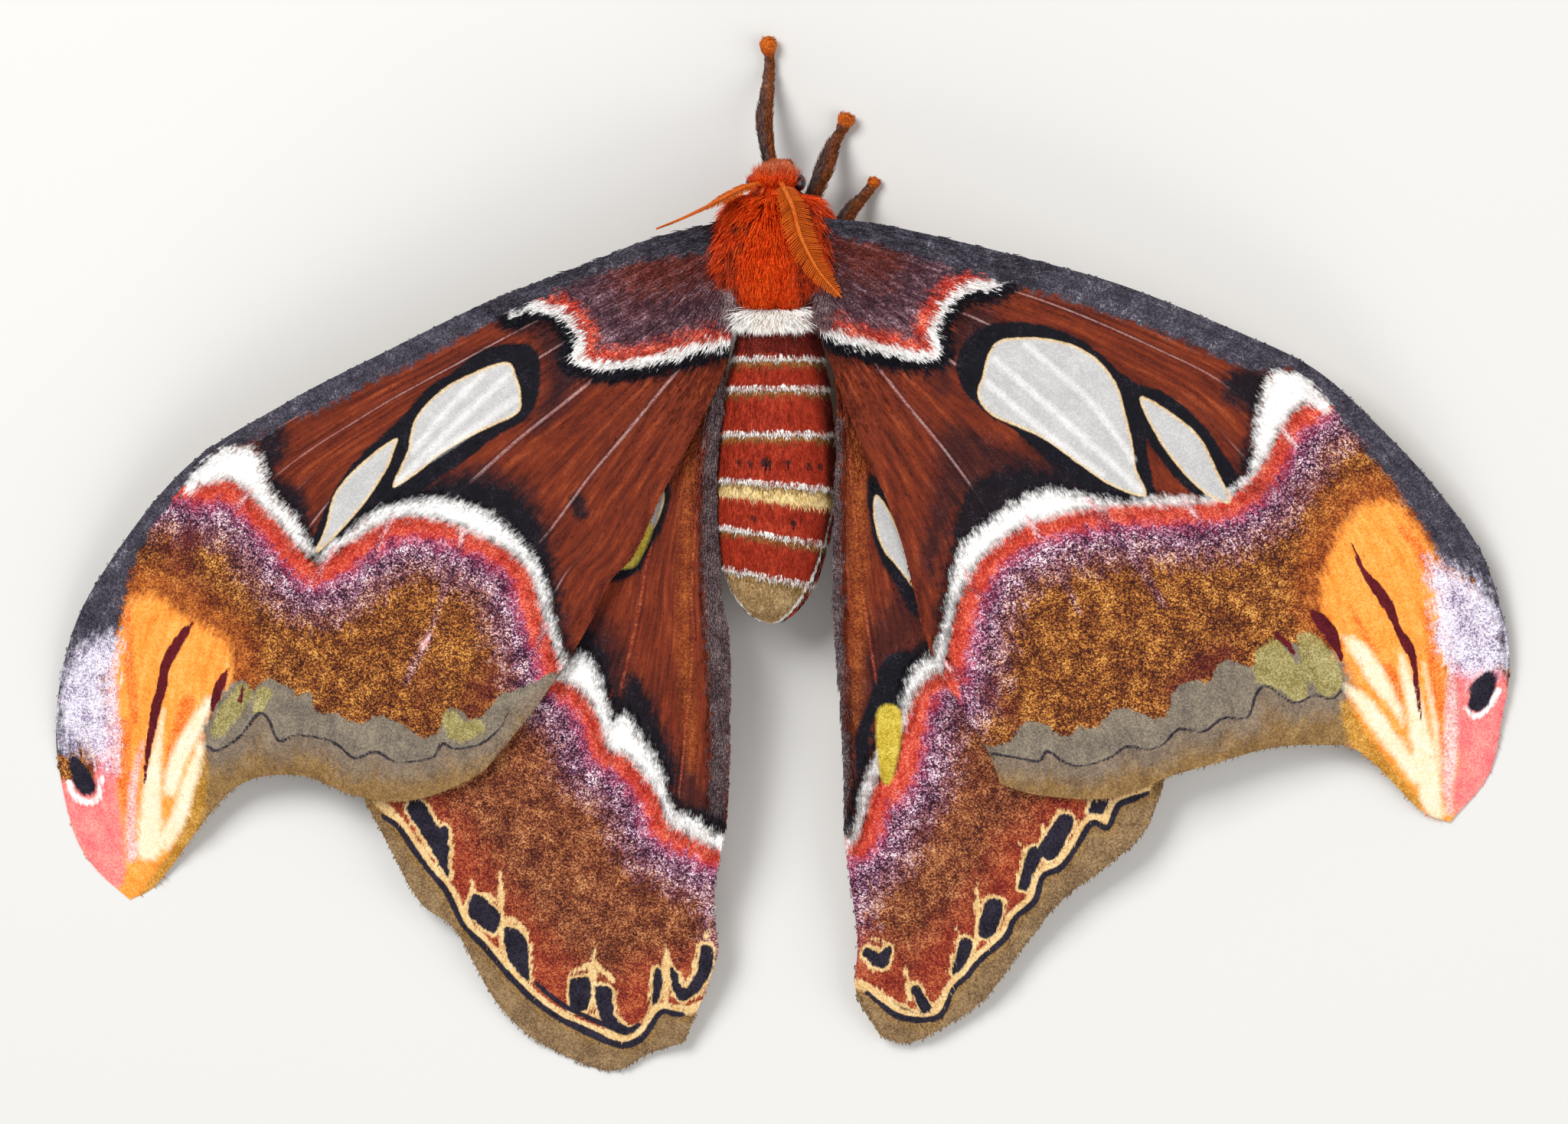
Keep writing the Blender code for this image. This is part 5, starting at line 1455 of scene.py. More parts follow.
@dataclass
class Trunk:
    """Head, thorax and abdomen as one skin of rounded sections along the body, with its coat.

    A section at y is |(x - a) / w|^n + |(z - b) / h|^n = 1 with n = 2.3. The abdomen swells
    before each ring's end and steps down behind it, each by a height that fades over a length.
    """

    sections: Sequence[tuple[float, ...]] = (
        (11.75, 0.0, 11.8, 0.05, 0.05), (11.6, 0.0, 11.8, 0.5, 0.6), (11.2, 0.0, 11.9, 0.95, 1.15),
        (10.6, 0.0, 12.2, 1.8, 2.05), (9.8, 0.0, 12.6, 2.45, 2.6), (8.7, 0.0, 12.8, 2.6, 2.65),
        (7.7, 0.0, 12.8, 2.5, 2.5), (6.9, 0.0, 12.7, 3.5, 3.4), (6.2, 0.0, 12.6, 4.5, 4.4),
        (4.2, 0.0, 12.2, 5.5, 5.5), (1.6, 0.0, 12.0, 6.0, 6.0), (-1.6, 0.0, 11.9, 6.0, 5.9),
        (-4.2, 0.0, 11.7, 5.3, 5.3), (-5.8, 0.0, 11.4, 4.5, 4.6), (-6.9, 0.0, 11.2, 4.1, 4.2),
        (-8.2, 0.0, 11.0, 4.7, 4.8), (-10.6, -0.1, 10.6, 5.2, 5.3), (-15.8, -0.3, 9.9, 6.3, 6.1),
        (-20.6, -0.5, 9.4, 7.0, 6.5), (-26.8, -0.6, 9.2, 7.5, 6.7), (-33.4, -0.8, 9.1, 7.6, 6.7),
        (-39.5, -1.2, 8.8, 6.7, 6.1), (-43.6, -1.5, 8.5, 5.4, 5.0), (-46.4, -1.6, 8.2, 3.6, 3.4),
        (-47.8, -1.6, 8.0, 1.9, 1.8), (-48.3, -1.6, 7.9, 0.9, 0.9), (-48.5, -1.6, 7.9, 0.05, 0.05))
    ring_ends: Sequence[float] = (-13.8, -17.7, -23.6, -30.1, -36.8, -42.3)
    ring_slopes: Sequence[float] = (0.0, 0.0, 0.0, 0.091, 0.169, 0.197)
    ring_swell: tuple[float, float] = (0.16, 1.3)
    ring_drop: tuple[float, float] = (0.30, 0.8)
    power: float = 2.3
    rows: int = 400
    around: int = 132
    thorax_hairs: int = 9600
    shoulder_hairs: int = 8600
    breast_hairs: int = 4000
    mane_hairs: int = 5600
    lap_hairs: int = 1700
    head_hairs: int = 6400
    collar_hairs: int = 5200
    abdomen_hairs: int = 14000
    ring_hairs: int = 8000

    def size(self, y: Array) -> list[Array]:
        """Middle x, middle z, half width and half height of the section at y."""
        table = smooth_curve(self.sections, False, 8)[::-1]
        return [np.interp(y, table[:, 0], table[:, k]) for k in range(1, 5)]

    def slanted(self, y: Array, x: Array) -> Array:
        """Place along the body of a point, corrected for how the rings slant across it."""
        slope = np.interp(-y, [-e for e in self.ring_ends], self.ring_slopes)
        return y + slope * (x + 0.6)

    def at(self, y: Array, turn: Array) -> Array:
        """Points of the skin at y, turned round the body by an angle from the top.

        Args:
            y: Place along the body.
            turn: Angle from straight up, positive towards the moth's right.

        Returns:
            The points.
        """
        x, z, wide, tall = self.size(y)
        s, c = np.sin(turn), np.cos(turn)
        reach = (np.abs(s) ** self.power + np.abs(c) ** self.power) ** (-1 / self.power)
        place = self.slanted(y, x + wide * s)
        step = np.zeros_like(place)
        (swell, swell_long), (drop, drop_long) = self.ring_swell, self.ring_drop
        for end in self.ring_ends:
            before, behind = place - end, end - place
            step += swell * np.exp(-np.clip(before, 0, None) / swell_long) * (before >= 0)
            step -= drop * np.exp(-np.clip(behind, 0, None) / drop_long) * (behind > 0)
        soft = np.clip(-(y + 9.0) / 3.0, 0, 1) * np.clip((y + 48.0) / 4.0, 0, 1)
        wide, tall = wide + step * soft, tall + step * soft
        return np.stack([x + wide * s * reach, y, z + tall * c * reach], axis=-1)

    def normal(self, y: Array, turn: Array) -> Array:
        """Outward directions: the cross product of the two small steps on the skin."""
        ahead = self.at(y + 0.15, turn) - self.at(y - 0.15, turn)
        around = self.at(y, turn + 0.02) - self.at(y, turn - 0.02)
        return unit(np.cross(around, ahead))

    def ways(self, y: Array, turn: Array) -> tuple[Array, Array]:
        """Directions back along the skin and round it, each from two near points."""
        return (unit(self.at(y - 0.2, turn) - self.at(y + 0.2, turn)),
                unit(self.at(y, turn + 0.02) - self.at(y, turn - 0.02)))

    @staticmethod
    def off_eyes(roots: Array, gap: float) -> Array:
        """Whether each root is farther than a gap from the middle of either eye."""
        return np.min([np.linalg.norm(roots - np.array(EYE_PLACE) * (side, 1, 1), axis=1)
                       for side in (-1, 1)], axis=0) > gap

    def fields(self, y: Array, turn: Array) -> dict[str, Array]:
        """The markings of the body in millimetres, positive inside each.

        Args:
            y: Place along the body.
            turn: Angle from straight up.

        Returns:
            One value for each point and marking.
        """
        point = self.at(y, turn)
        wide = self.size(y)[2]
        place = self.slanted(y, point[..., 0])
        away = np.min([np.abs(place - end) for end in self.ring_ends], axis=0)
        behind = np.min([np.where(place < end, end - place, 9.0) for end in self.ring_ends],
                        axis=0)
        degrees = np.degrees(np.abs(turn))
        girth = np.maximum(wide, 1.0) * math.pi / 180
        side_line = np.interp(-y, [30.0, 32.6, 37.6, 43.4, 48.0], [96.0, 89.0, 79.0, 70.0, 60.0])
        from_side = (degrees - side_line) * girth
        on_tail = y < -31.0
        flank_line = np.where(on_tail, 0.32 - np.abs(from_side), -9.0)
        breath = [((place - at) / 1.5) ** 2 + ((degrees - 99) * girth / 0.95) ** 2
                  for at in (-34.4, -40.2, -45.0)]
        holes = (1 - np.sqrt(np.min(breath, axis=0))) * 0.9
        dots = np.max([r - np.hypot(point[..., 0] - dx, place - dy) for dx, dy, r in (
            (-4.4, -27.5, 0.35), (-2.8, -27.6, 0.4), (-0.6, -27.4, 0.75), (2.2, -27.3, 0.35),
            (4.6, -27.5, 0.35), (6.0, -27.4, 0.3), (-2.4, -34.9, 0.35), (2.8, -34.8, 0.4))],
            axis=0)
        flecks = np.max([r - np.hypot(point[..., 0] - dx, y - dy) for dx, dy, r in (
            (-2.7, 4.6, 0.45), (-1.6, 4.9, 0.35), (-2.4, 2.9, 0.4), (3.4, 5.9, 0.3))], axis=0)
        dorsal = np.where(degrees < 90, 1.0, -1.0)
        return {
            "line": np.maximum(np.where(degrees < 118, 0.25 - away, -9.0), flank_line),
            "under_line": np.where(behind < 8, 1.0 - behind, -9.0),
            "cream": np.minimum(np.where(place < -30.1, place + 32.5, -9.0),
                                (97 - degrees) * girth),
            "tail": -42.5 - place, "flank": np.where(on_tail, from_side, -9.0),
            "shadow": np.where(y < -13, (degrees - 66) * girth, -9.0),
            "waist": np.minimum(y + 13.3, -7.0 - y),
            "below": np.where(y < -7, (degrees - 122) * girth, -9.0),
            "rims": holes + 0.42, "spiracles": holes, "dots": dots, "flecks": flecks,
            "collar": np.minimum(np.minimum(y + 10.4, -6.7 - y),
                                 (48 - np.abs(np.degrees(turn) + 5)) * girth),
            "side": np.minimum(np.minimum(y + 9.4, -4.7 - y), (degrees - 46) * 0.08),
            "chest": np.where(y > -6.9, y + 6.9, -9.0),
            "shoulder": np.where(y > -6.9, np.abs(point[..., 0]) - 3.3 + 0.1 * dorsal, -9.0),
            # Painted shade along the groove between the middle and side lobes of the thorax's
            # hair.
            "gap": np.minimum(0.35 - np.abs(np.abs(point[..., 0]) - np.interp(
                y, [-5.0, 3.0], [4.6, 3.6])), np.minimum(y + 5.2, 2.6 - y)),
            "head": y - 9.0,
        }

    def spots(self, y: Array, turn: Array) -> Array:
        """Map places: across by the turn and up by the place along the body."""
        return np.stack([0.02 + 0.96 * (turn + math.pi) / (2 * math.pi),
                         0.02 + 0.96 * (y + 49.0) / 61.5], axis=-1)

    def values(self, y: Array, turn: Array, hair: float) -> dict[str, Array]:
        """Everything the finish reads at points of the skin."""
        lie = np.stack([turn * 9.0, y * 0.35, np.zeros_like(y)], -1).reshape(-1, 3)
        return finish_values(self.fields(y, turn), lie, hair)

    def skin(self, material: Material) -> None:
        """The closed skin: rings of points joined along the body, with a point at each end."""
        share = np.linspace(0, 1, self.rows)
        y = 11.75 - 60.25 * (share + 0.09 * np.sin(2 * math.pi * share))
        turn = np.linspace(-math.pi, math.pi, self.around + 1)
        yy, tt = np.meshgrid(y, turn, indexing="ij")
        points = self.at(yy, tt)[:, :-1]
        body = points.reshape(-1, 3)
        ends = np.stack([points[0].mean(0), points[-1].mean(0)])
        faces = capped_faces(self.rows, self.around)
        inner_y = np.concatenate([yy[:, :-1].ravel(), [y[0], y[-1]]])
        inner_turn = np.concatenate([tt[:, :-1].ravel(), [0.0, 0.0]])
        values = self.values(inner_y, inner_turn, 0.0)
        places = self.spots(inner_y, inner_turn)[faces]
        crossing = np.ptp(places[..., 0], axis=1) > 0.5
        places[..., 0] += crossing[:, None] * (places[..., 0] < 0.5) * 0.96
        Piece("body_skin", np.concatenate([body, ends]), faces, values,
              places.reshape(-1, 2)).make(material, "thorax", "abdomen", "head")

    def coat(self, name: str, material: Material, y: Array, turn: Array,
             length: Array, width: Array, lie: Array | None = None, **options: object) -> None:
        """Hairs with roots at places of the skin.

        Args:
            name: The piece's name.
            material: The finish of the skin.
            y: Place of each root along the body.
            turn: Angle of each root from the top.
            length: Length of each hair.
            width: Width of each hair.
            lie: Which way each lies, or None for back along the body.
            options: Further fields of Tufts.
        """
        roots, normals = self.at(y, turn), self.normal(y, turn)
        back = self.at(y - 0.2, turn) - self.at(y + 0.2, turn) if lie is None else lie
        back = back - normals * np.sum(back * normals, -1, keepdims=True)
        Tufts(name, roots, normals, back, length, width, self.spots(y, turn),
              self.values(y, turn, 1.0), **options).build(material)

    def gathered(self, y: Array, turn: Array, lie: Array, length: float, rise: float,
                 locks: int, dice: np.random.Generator) -> Array:
        """Where the tips of the nearest lock's middle hair are, so that hairs gather in locks."""
        roots, normals = self.at(y, turn), self.normal(y, turn)
        chosen = dice.choice(len(y), locks, replace=False)
        tips = roots[chosen] + length * (unit(lie[chosen]) + rise * normals[chosen])
        nearest = np.empty(len(y), int)
        for part in np.array_split(np.arange(len(y)), 12):
            gap = roots[part, None] - roots[None, chosen]
            nearest[part] = np.argmin(np.einsum("ijk,ijk->ij", gap, gap), axis=1)
        return tips[nearest]

    def build(self, effects: Effects) -> None:
        """The skin, and the coats of thorax, head, collar and abdomen.

        Args:
            effects: The shared shader effects.
        """
        names = sorted(self.fields(np.zeros(1), np.zeros(1)))
        material = ScaleFinish("body_fur", names, TRUNK_LAYERS, effects, SEGMENT_RED, 0.7,
                               Gloss.HAIR.value).make()
        self.skin(material)
        self.thorax_coat(material)
        self.mane_coat(material)
        self.lap_coat(material)
        self.head_coat(material)
        self.collar_coat(material)
        self.abdomen_coat(material)

    def thorax_coat(self, material: Material) -> None:
        """Long hair in three lobes. The middle one sweeps back from the neck. Each side one fans
        out over the root of a forewing and gathers towards a point behind. Short hair covers
        the breast.
        """
        dice = np.random.default_rng(11)
        count = self.thorax_hairs
        y, turn = dice.uniform(-6.8, 8.3, count), dice.uniform(-0.95, 0.95, count)
        back, around = self.ways(y, turn)
        spread = np.sin(turn) * np.interp(y, [-6.8, 0.0, 5.0, 8.3], [-0.45, -0.1, 0.5, 0.5])
        lie = back + spread[:, None] * around
        reach = np.interp(y, [-6.8, -3.0, 3.0, 7.0, 8.3], [3.0, 3.6, 3.8, 3.0, 2.2])
        length = reach * dice.uniform(0.7, 1.15, count)
        toward = self.gathered(y, turn, lie, 3.5, 0.42, 150, dice)
        near = np.linalg.norm(toward - self.at(y, turn), axis=1) < 5.2
        toward = np.where(near[:, None], toward, self.at(y, turn) + lie * length[:, None])
        self.coat("thorax_coat", material, y, turn, length, dice.uniform(0.24, 0.44, count), lie,
                  rise=0.66, fall=0.36, toward=toward, gather=0.3, seed=12)
        self.shoulder_coat(material, dice)
        count = self.breast_hairs
        y, turn = dice.uniform(-6.4, 8.0, count), dice.uniform(2.0, 4.3, count)
        self.coat("breast_coat", material, y, turn, dice.uniform(1.6, 2.8, count),
                  dice.uniform(0.3, 0.5, count), rise=0.45, fall=0.3, stops=(0.0, 0.5), seed=14)

    def shoulder_coat(self, material: Material, dice: np.random.Generator) -> None:
        """The two side lobes of the thorax's hair, each gathered towards a point behind."""
        count = self.shoulder_hairs
        side = both_sides(count)
        y, turn = dice.uniform(-3.2, 8.2, count), side * dice.uniform(0.72, 2.2, count)
        end = np.stack([np.where(side < 0, -8.7, 7.3), np.full(count, -4.9),
                        np.full(count, 14.6)], 1)
        roots = self.at(y, turn)
        middle = np.stack([side * 5.6, np.full(count, 2.0), np.full(count, 13.2)], 1)
        toward = end + (roots - middle) * np.array([0.45, 0.42, 0.5])
        lie = unit(toward - roots) + 0.35 * self.normal(y, turn)
        reach = np.interp(y, [-3.2, 1.0, 5.0, 8.2], [2.6, 4.2, 3.8, 2.6])
        length = reach * dice.uniform(0.75, 1.15, count)
        pull = roots + (toward - roots) * (length * 1.05 / np.linalg.norm(
            toward - roots, axis=1))[:, None] + 1.7 * self.normal(y, turn)
        self.coat("shoulder_coat", material, y, turn, length, dice.uniform(0.24, 0.44, count),
                  lie, rise=0.9, fall=0.4, toward=pull, gather=0.4, seed=13)

    def mane_coat(self, material: Material) -> None:
        """Hair at the sides of the neck that lies back and outward, so that head and thorax
        make one cone.
        """
        dice = np.random.default_rng(15)
        count = self.mane_hairs
        y = dice.uniform(6.3, 8.9, count)
        turn = both_sides(count) * dice.uniform(0.3, 2.2, count)
        roots = self.at(y, turn)
        clear = self.off_eyes(roots, 1.2)
        y, turn, roots = y[clear], turn[clear], roots[clear]
        length = dice.uniform(1.8, 3.4, len(y))
        lie = np.stack([1.15 * np.sin(turn), np.full(len(y), -1.0), 0.45 * np.cos(turn)], 1)
        self.coat("mane_coat", material, y, turn, length, dice.uniform(0.2, 0.36, len(y)), lie,
                  rise=0.3, fall=0.2, toward=roots + unit(lie) * length[:, None], gather=0.9,
                  seed=16)

    def lap_coat(self, material: Material) -> None:
        """Hair on the roots of the forewings that reaches back along the sides of the body."""
        dice = np.random.default_rng(17)
        count = self.lap_hairs
        side = both_sides(count)
        roots = lay(side * dice.uniform(5.4, 7.4, count), dice.uniform(-8.6, -2.0, count), 0.4)
        normals = np.tile([0.0, 0.0, 1.0], (count, 1))
        lie = np.stack([-0.2 * side, np.full(count, -1.0), np.zeros(count)], 1)
        y, turn = np.full(count, -7.5), 1.2 * side
        Tufts("lap_coat", roots, normals, lie, dice.uniform(1.5, 2.6, count),
              dice.uniform(0.18, 0.32, count), self.spots(y, turn), self.values(y, turn, 1.0),
              rise=0.4, fall=0.3, seed=18, stray=0.3).build(material)

    def head_coat(self, material: Material) -> None:
        """Short hair that stands forward between the eyes and down the face."""
        dice = np.random.default_rng(21)
        count = self.head_hairs
        y, turn = dice.uniform(7.5, 11.6, count), dice.uniform(-math.pi, math.pi, count)
        clear = self.off_eyes(self.at(y, turn), 1.5)
        y, turn = y[clear], turn[clear]
        ahead = self.at(y + 0.2, turn) - self.at(y - 0.2, turn)
        count = len(y)
        length = dice.uniform(0.8, 1.9, count) * np.interp(y, [7.5, 9.5, 11.6], [1.3, 1.1, 0.45])
        self.coat("head_coat", material, y, turn, length, dice.uniform(0.14, 0.26, count), ahead,
                  rise=0.75, fall=0.3, stray=0.3, seed=22)

    def collar_coat(self, material: Material) -> None:
        """A thick tuft of pale wool between thorax and abdomen, fanned out at its sides."""
        dice = np.random.default_rng(31)
        count = self.collar_hairs
        y, turn = dice.uniform(-8.7, -6.5, count), dice.uniform(-1.45, 1.45, count)
        back, around = self.ways(y, turn)
        lie = back + (0.7 * np.sin(turn))[:, None] * around
        toward = self.gathered(y, turn, lie, 2.4, 0.6, 60, dice)
        length = dice.uniform(1.7, 3.2, count)
        self.coat("collar_coat", material, y, turn, length, dice.uniform(0.18, 0.34, count),
                  lie, rise=1.25, fall=0.5, bend=0.35, stray=0.4, toward=toward, gather=0.35,
                  seed=32)

    def abdomen_coat(self, material: Material) -> None:
        """Short flat fur, and a woolly row of hair that stands on each pale line."""
        dice = np.random.default_rng(41)
        count = self.abdomen_hairs
        y, turn = dice.uniform(-47.8, -9.5, count), dice.uniform(-math.pi, math.pi, count)
        length = dice.uniform(0.6, 1.15, count)
        self.coat("abdomen_coat", material, y, turn, length, dice.uniform(0.16, 0.28, count),
                  rise=0.3, fall=0.2, sink=0.06, stops=(0.0, 0.5), seed=42)
        count = self.ring_hairs
        end = np.array(self.ring_ends)[dice.choice(len(self.ring_ends), count)]
        turn = dice.uniform(-2.0, 2.0, count)
        y = end
        for _ in range(3):
            y = y + end - self.slanted(y, self.at(y, turn)[..., 0])
        y = y + dice.normal(0, 0.08, count)
        self.coat("ring_wool", material, y, turn, dice.uniform(0.35, 0.72, count),
                  dice.uniform(0.12, 0.2, count), rise=0.9, fall=0.35, bend=0.4, sink=0.06,
                  stops=(0.0, 0.5), seed=43)


@dataclass
class Eyes:
    """Two black compound eyes, balls of fine facets in the fur of the head."""

    place: tuple[float, float, float] = EYE_PLACE
    radius: float = 1.25
    rings: int = 48
    facets: float = 9000.0
    facet_depth: float = 0.00004
    facet_bump: float = 0.35
    rough: float = 0.14

    def build(self) -> None:
        """Each eye is a ball: radius times (cos a sin b, cos b, sin a sin b) round its middle."""
        material, graph, shader = make_material("eye_black")
        place = graph.add("ShaderNodeTexCoord").outputs["Object"]
        cell = graph.add("ShaderNodeTexVoronoi", feature="F1")
        graph.feed(cell.inputs["Vector"], place)
        cell.inputs["Scale"].default_value = self.facets
        bump = graph.add("ShaderNodeBump", invert=True)
        bump.inputs["Strength"].default_value = self.facet_bump
        bump.inputs["Distance"].default_value = self.facet_depth
        graph.feed(bump.inputs["Height"], cell.outputs["Distance"])
        graph.feed(shader.inputs["Normal"], bump.outputs["Normal"])
        broad = graph.noise(place, 1400.0, 2.0)
        graph.feed(shader.inputs["Base Color"], graph.ramp(broad, EYE_BLACK.stops))
        shader.inputs["Roughness"].default_value = self.rough
        for side, word in ((-1, "left"), (1, "right")):
            b = np.linspace(0, math.pi, self.rings)
            a = np.arange(2 * self.rings) * math.pi / self.rings
            bb, aa = np.meshgrid(b, a, indexing="ij")
            ball = np.stack([np.cos(aa) * np.sin(bb), np.cos(bb), np.sin(aa) * np.sin(bb)], -1)
            middle = np.array(self.place) * np.array([side, 1, 1])
            inner = ball[1:-1].reshape(-1, 3)
            points = middle + self.radius * np.concatenate([inner, [[0, 1, 0], [0, -1, 0]]])
            faces = capped_faces(self.rings - 2, 2 * self.rings)
            Piece(f"eye_ball_{word}", points, faces).make(material, f"eye_{word}")


def sweep(path: Array, radii: Array, sides: int, up: Sequence[float],
          floor: float | None = None, cap: float = 0.4) -> tuple[Array, Array, Array, Array]:
    """A round tube along a path with rounded ends.

    A ring's points are path + r (cos a side + sin a over), where side is the cross product of
    the path's direction and up, and over completes the frame.

    Args:
        path: Middle points.
        radii: Radius at each.
        sides: Points round a ring.
        up: A direction that the path never runs along.
        floor: Height that no point goes below, or None.
        cap: How far each end stands out, as a share of the radius there.

    Returns:
        Points, triangles, and the side and over directions of each ring.
    """
    ahead = unit(np.gradient(path, axis=0))
    side = unit(np.cross(ahead, np.array(up, float)))
    over = np.cross(side, ahead)
    angle = (np.arange(sides) * 2 * math.pi / sides)[None, :, None]
    rings = path[:, None] + radii[:, None, None] * (
        np.cos(angle) * side[:, None] + np.sin(angle) * over[:, None])
    ends = np.stack([path[0] - ahead[0] * radii[0] * cap, path[-1] + ahead[-1] * radii[-1] * cap])
    faces = capped_faces(len(path), sides)
    points = np.concatenate([rings.reshape(-1, 3), ends])
    if floor is not None:
        points[:, 2] = np.maximum(points[:, 2], floor)
    return points, faces, side, over


FEELER_LIE = 2.0


@dataclass
class Feeler:
    """An antenna: a bent shaft with a fine ray to each side at every step, shorter to the tip.

    A ray of length L is a spike from the shaft along q (side + lean * ahead) L, drooping by
    droop * q² L.
    """

    name: str
    points: Points
    up: tuple[float, float, float]
    replaces: str
    steps: int = 70
    sides: int = 12
    thick_at: Sequence[float] = (0.0, 0.06, 0.5, 1.0)
    thick: Sequence[float] = (0.42, 0.34, 0.26, 0.12)
    ray_pairs: int = 62
    ray_wide: float = 0.27
    start: float = 0.08
    end: float = 0.96
    places: Sequence[float] = (0.0, 0.1, 0.35, 0.6, 0.85, 1.0)
    reach: Sequence[float] = (0.5, 1.15, 2.15, 2.0, 1.2, 0.45)
    lean: float = 0.5
    droop: float = 0.1

    def build(self, effects: Effects) -> None:
        """The shaft, and all the rays of both sides, fine and slightly uneven.

        Args:
            effects: The shared shader effects.
        """
        finish = ScaleFinish(self.name + "_finish", ["shaft"],
                             coats(("shaft", EMBER, 0.0, 0.5, 0.2, 0.25)), effects,
                             FEELER_ORANGE, 0.6, Gloss.HAIR.value).make()
        steps = np.linspace(0, 1, self.steps)
        path = along_path(self.points, steps)
        radii = np.interp(steps, self.thick_at, self.thick)
        points, faces, side, over = sweep(path, radii, self.sides, self.up)
        values = finish_values({"shaft": np.ones(len(points))}, points * FEELER_LIE)
        Piece(self.name + "_shaft", points, faces, values).make(finish, self.replaces)
        dice = np.random.default_rng(len(self.name))
        share = np.repeat(np.linspace(self.start, self.end, self.ray_pairs), 2)
        hand = np.tile([-1.0, 1.0], self.ray_pairs)
        at = share * (len(path) - 1)
        low = np.floor(at).astype(int)
        part = (at - low)[:, None]
        root = path[low] * (1 - part) + path[np.minimum(low + 1, len(path) - 1)] * part
        along = unit(np.gradient(path, axis=0))[low]
        out = side[low] * hand[:, None]
        length = np.interp(share, self.places, self.reach) * dice.uniform(0.94, 1.06, len(share))
        length *= math.hypot(1, self.lean)
        values = finish_values({"shaft": np.full(len(share), -1.0)}, root * FEELER_LIE, 0.6)
        spots = np.stack([0.03 + 0.94 * share, 0.3 + 0.2 * (hand + 1)], 1)
        Tufts(self.name + "_rays", root, over[low], out + self.lean * along, length,
              np.full(len(share), self.ray_wide), spots, values, rise=0.04, fall=self.droop,
              bend=0.03, sink=0.0, stops=(0.0, 0.3, 0.6, 0.88), taper=0.28, flatness=0.6,
              stray=0.02, seed=6).build(finish)


FEELERS = (
    Feeler("feeler_right", ((1.3, 8.9, 15.5), (2.5, 7.6, 18.2), (3.9, 5.2, 20.0),
                            (5.0, 1.6, 20.6), (7.1, -2.6, 20.0), (9.9, -6.2, 18.3)),
           (0.3, 0.15, 1.0), "antenna_right"),
    Feeler("feeler_left", ((-1.4, 8.9, 15.5), (-3.2, 8.2, 17.6), (-6.4, 6.4, 19.1),
                           (-10.6, 4.4, 19.4), (-14.6, 2.9, 19.0)),
           (0.35, 1.0, 0.1), "antenna_left"),
)


LIMB_LIE = 1.5
LIMB_LAYERS = coats(
    ("foot", LEG_RUST, 0.0, 0.3, 0.1, 0.35),
    ("right", LEG_RUST, 0.25, 0.5, 0.3, 0.85),
    ("knob", FEELER_ORANGE, 0.0, 0.05, 0.02),
)


@dataclass
class Limb:
    """A leg or palp: a tapering tube that narrows at its knots, in short fur.

    The bare share of each point's radius is the tube's, and the rest is fur.
    """

    name: str
    points: Points
    replaces: str
    hairs: int = 900
    palp: bool = False
    steps: int = 90
    sides: int = 20
    bare: float = 0.86
    knots: Sequence[float] = (0.32, 0.62, 0.74, 0.82, 0.89)
    knot_deep: float = 0.16
    knot_half: float = 0.018

    def build(self, effects: Effects) -> None:
        """The tube with knots at its joints, and its fur, mauve near the body and rust beyond.

        Args:
            effects: The shared shader effects.
        """
        finish = ScaleFinish(self.name + "_finish", ["foot", "knob", "right"], LIMB_LAYERS,
                             effects, FUR if self.palp else LEG_MAUVE, 0.9,
                             Gloss.HAIR.value).make()
        steps, sides = self.steps, self.sides
        share = np.linspace(0, 1, steps)
        path = along_path(self.points, share)
        spots, radii = path[:, :3], path[:, 3] * self.bare
        near = np.exp(-((share[:, None] - np.array(self.knots)) / self.knot_half) ** 2)
        waist = 1 - self.knot_deep * near.sum(1)
        radii = radii * waist * np.interp(share, [0, 0.96, 1.0], [1, 1, 0.7])
        points, faces, side, over = sweep(spots, radii, sides, (0.0, 0.0, 1.0), 0.0)
        q = np.concatenate([np.repeat(share, sides), [0.0, 1.0]])
        turned = np.concatenate([((points[:-2].reshape(steps, sides, 3) - spots[:, None])[..., 0]
                                  / radii[:, None]).ravel(), [0.0, 0.0]])
        values = finish_values({"foot": q - 0.5, "knob": q - 0.9, "right": turned},
                               points * LIMB_LIE)
        Piece(self.name + "_limb", points, faces, values).make(finish, self.replaces)
        dice = np.random.default_rng(len(self.name) + 50)
        at = dice.integers(0, steps - 1, self.hairs)
        turn = dice.uniform(0, 2 * math.pi, self.hairs)[:, None]
        out = np.cos(turn) * side[at] + np.sin(turn) * over[at]
        root = spots[at] + out * radii[at][:, None]
        root[:, 2] = np.maximum(root[:, 2], 0.05)
        ahead = unit(np.gradient(spots, axis=0))[at]
        out[:, 2] = np.where(root[:, 2] < 0.4, np.abs(out[:, 2]), out[:, 2])
        values = finish_values({"foot": share[at] - 0.5, "knob": share[at] - 0.9,
                                "right": out[:, 0]}, root * LIMB_LIE, 1.0)
        length = dice.uniform(0.5, 1.0, self.hairs) * np.interp(share[at], [0, 0.55, 0.7, 1],
                                                              [1.7, 1.4, 0.7, 0.55])
        Tufts(self.name + "_fur", root, out, ahead, length,
              dice.uniform(0.14, 0.24, self.hairs), np.stack([0.05 + 0.9 * share[at],
                                                              0.05 + 0.14 * turn[:, 0]], 1),
              values, rise=0.34, fall=0.2, sink=0.05, stops=(0.0, 0.5), seed=7).build(finish)


def mirrored(points: Points) -> Points:
    """The same points on the other side of the body."""
    return tuple((-x, *rest) for x, *rest in points)


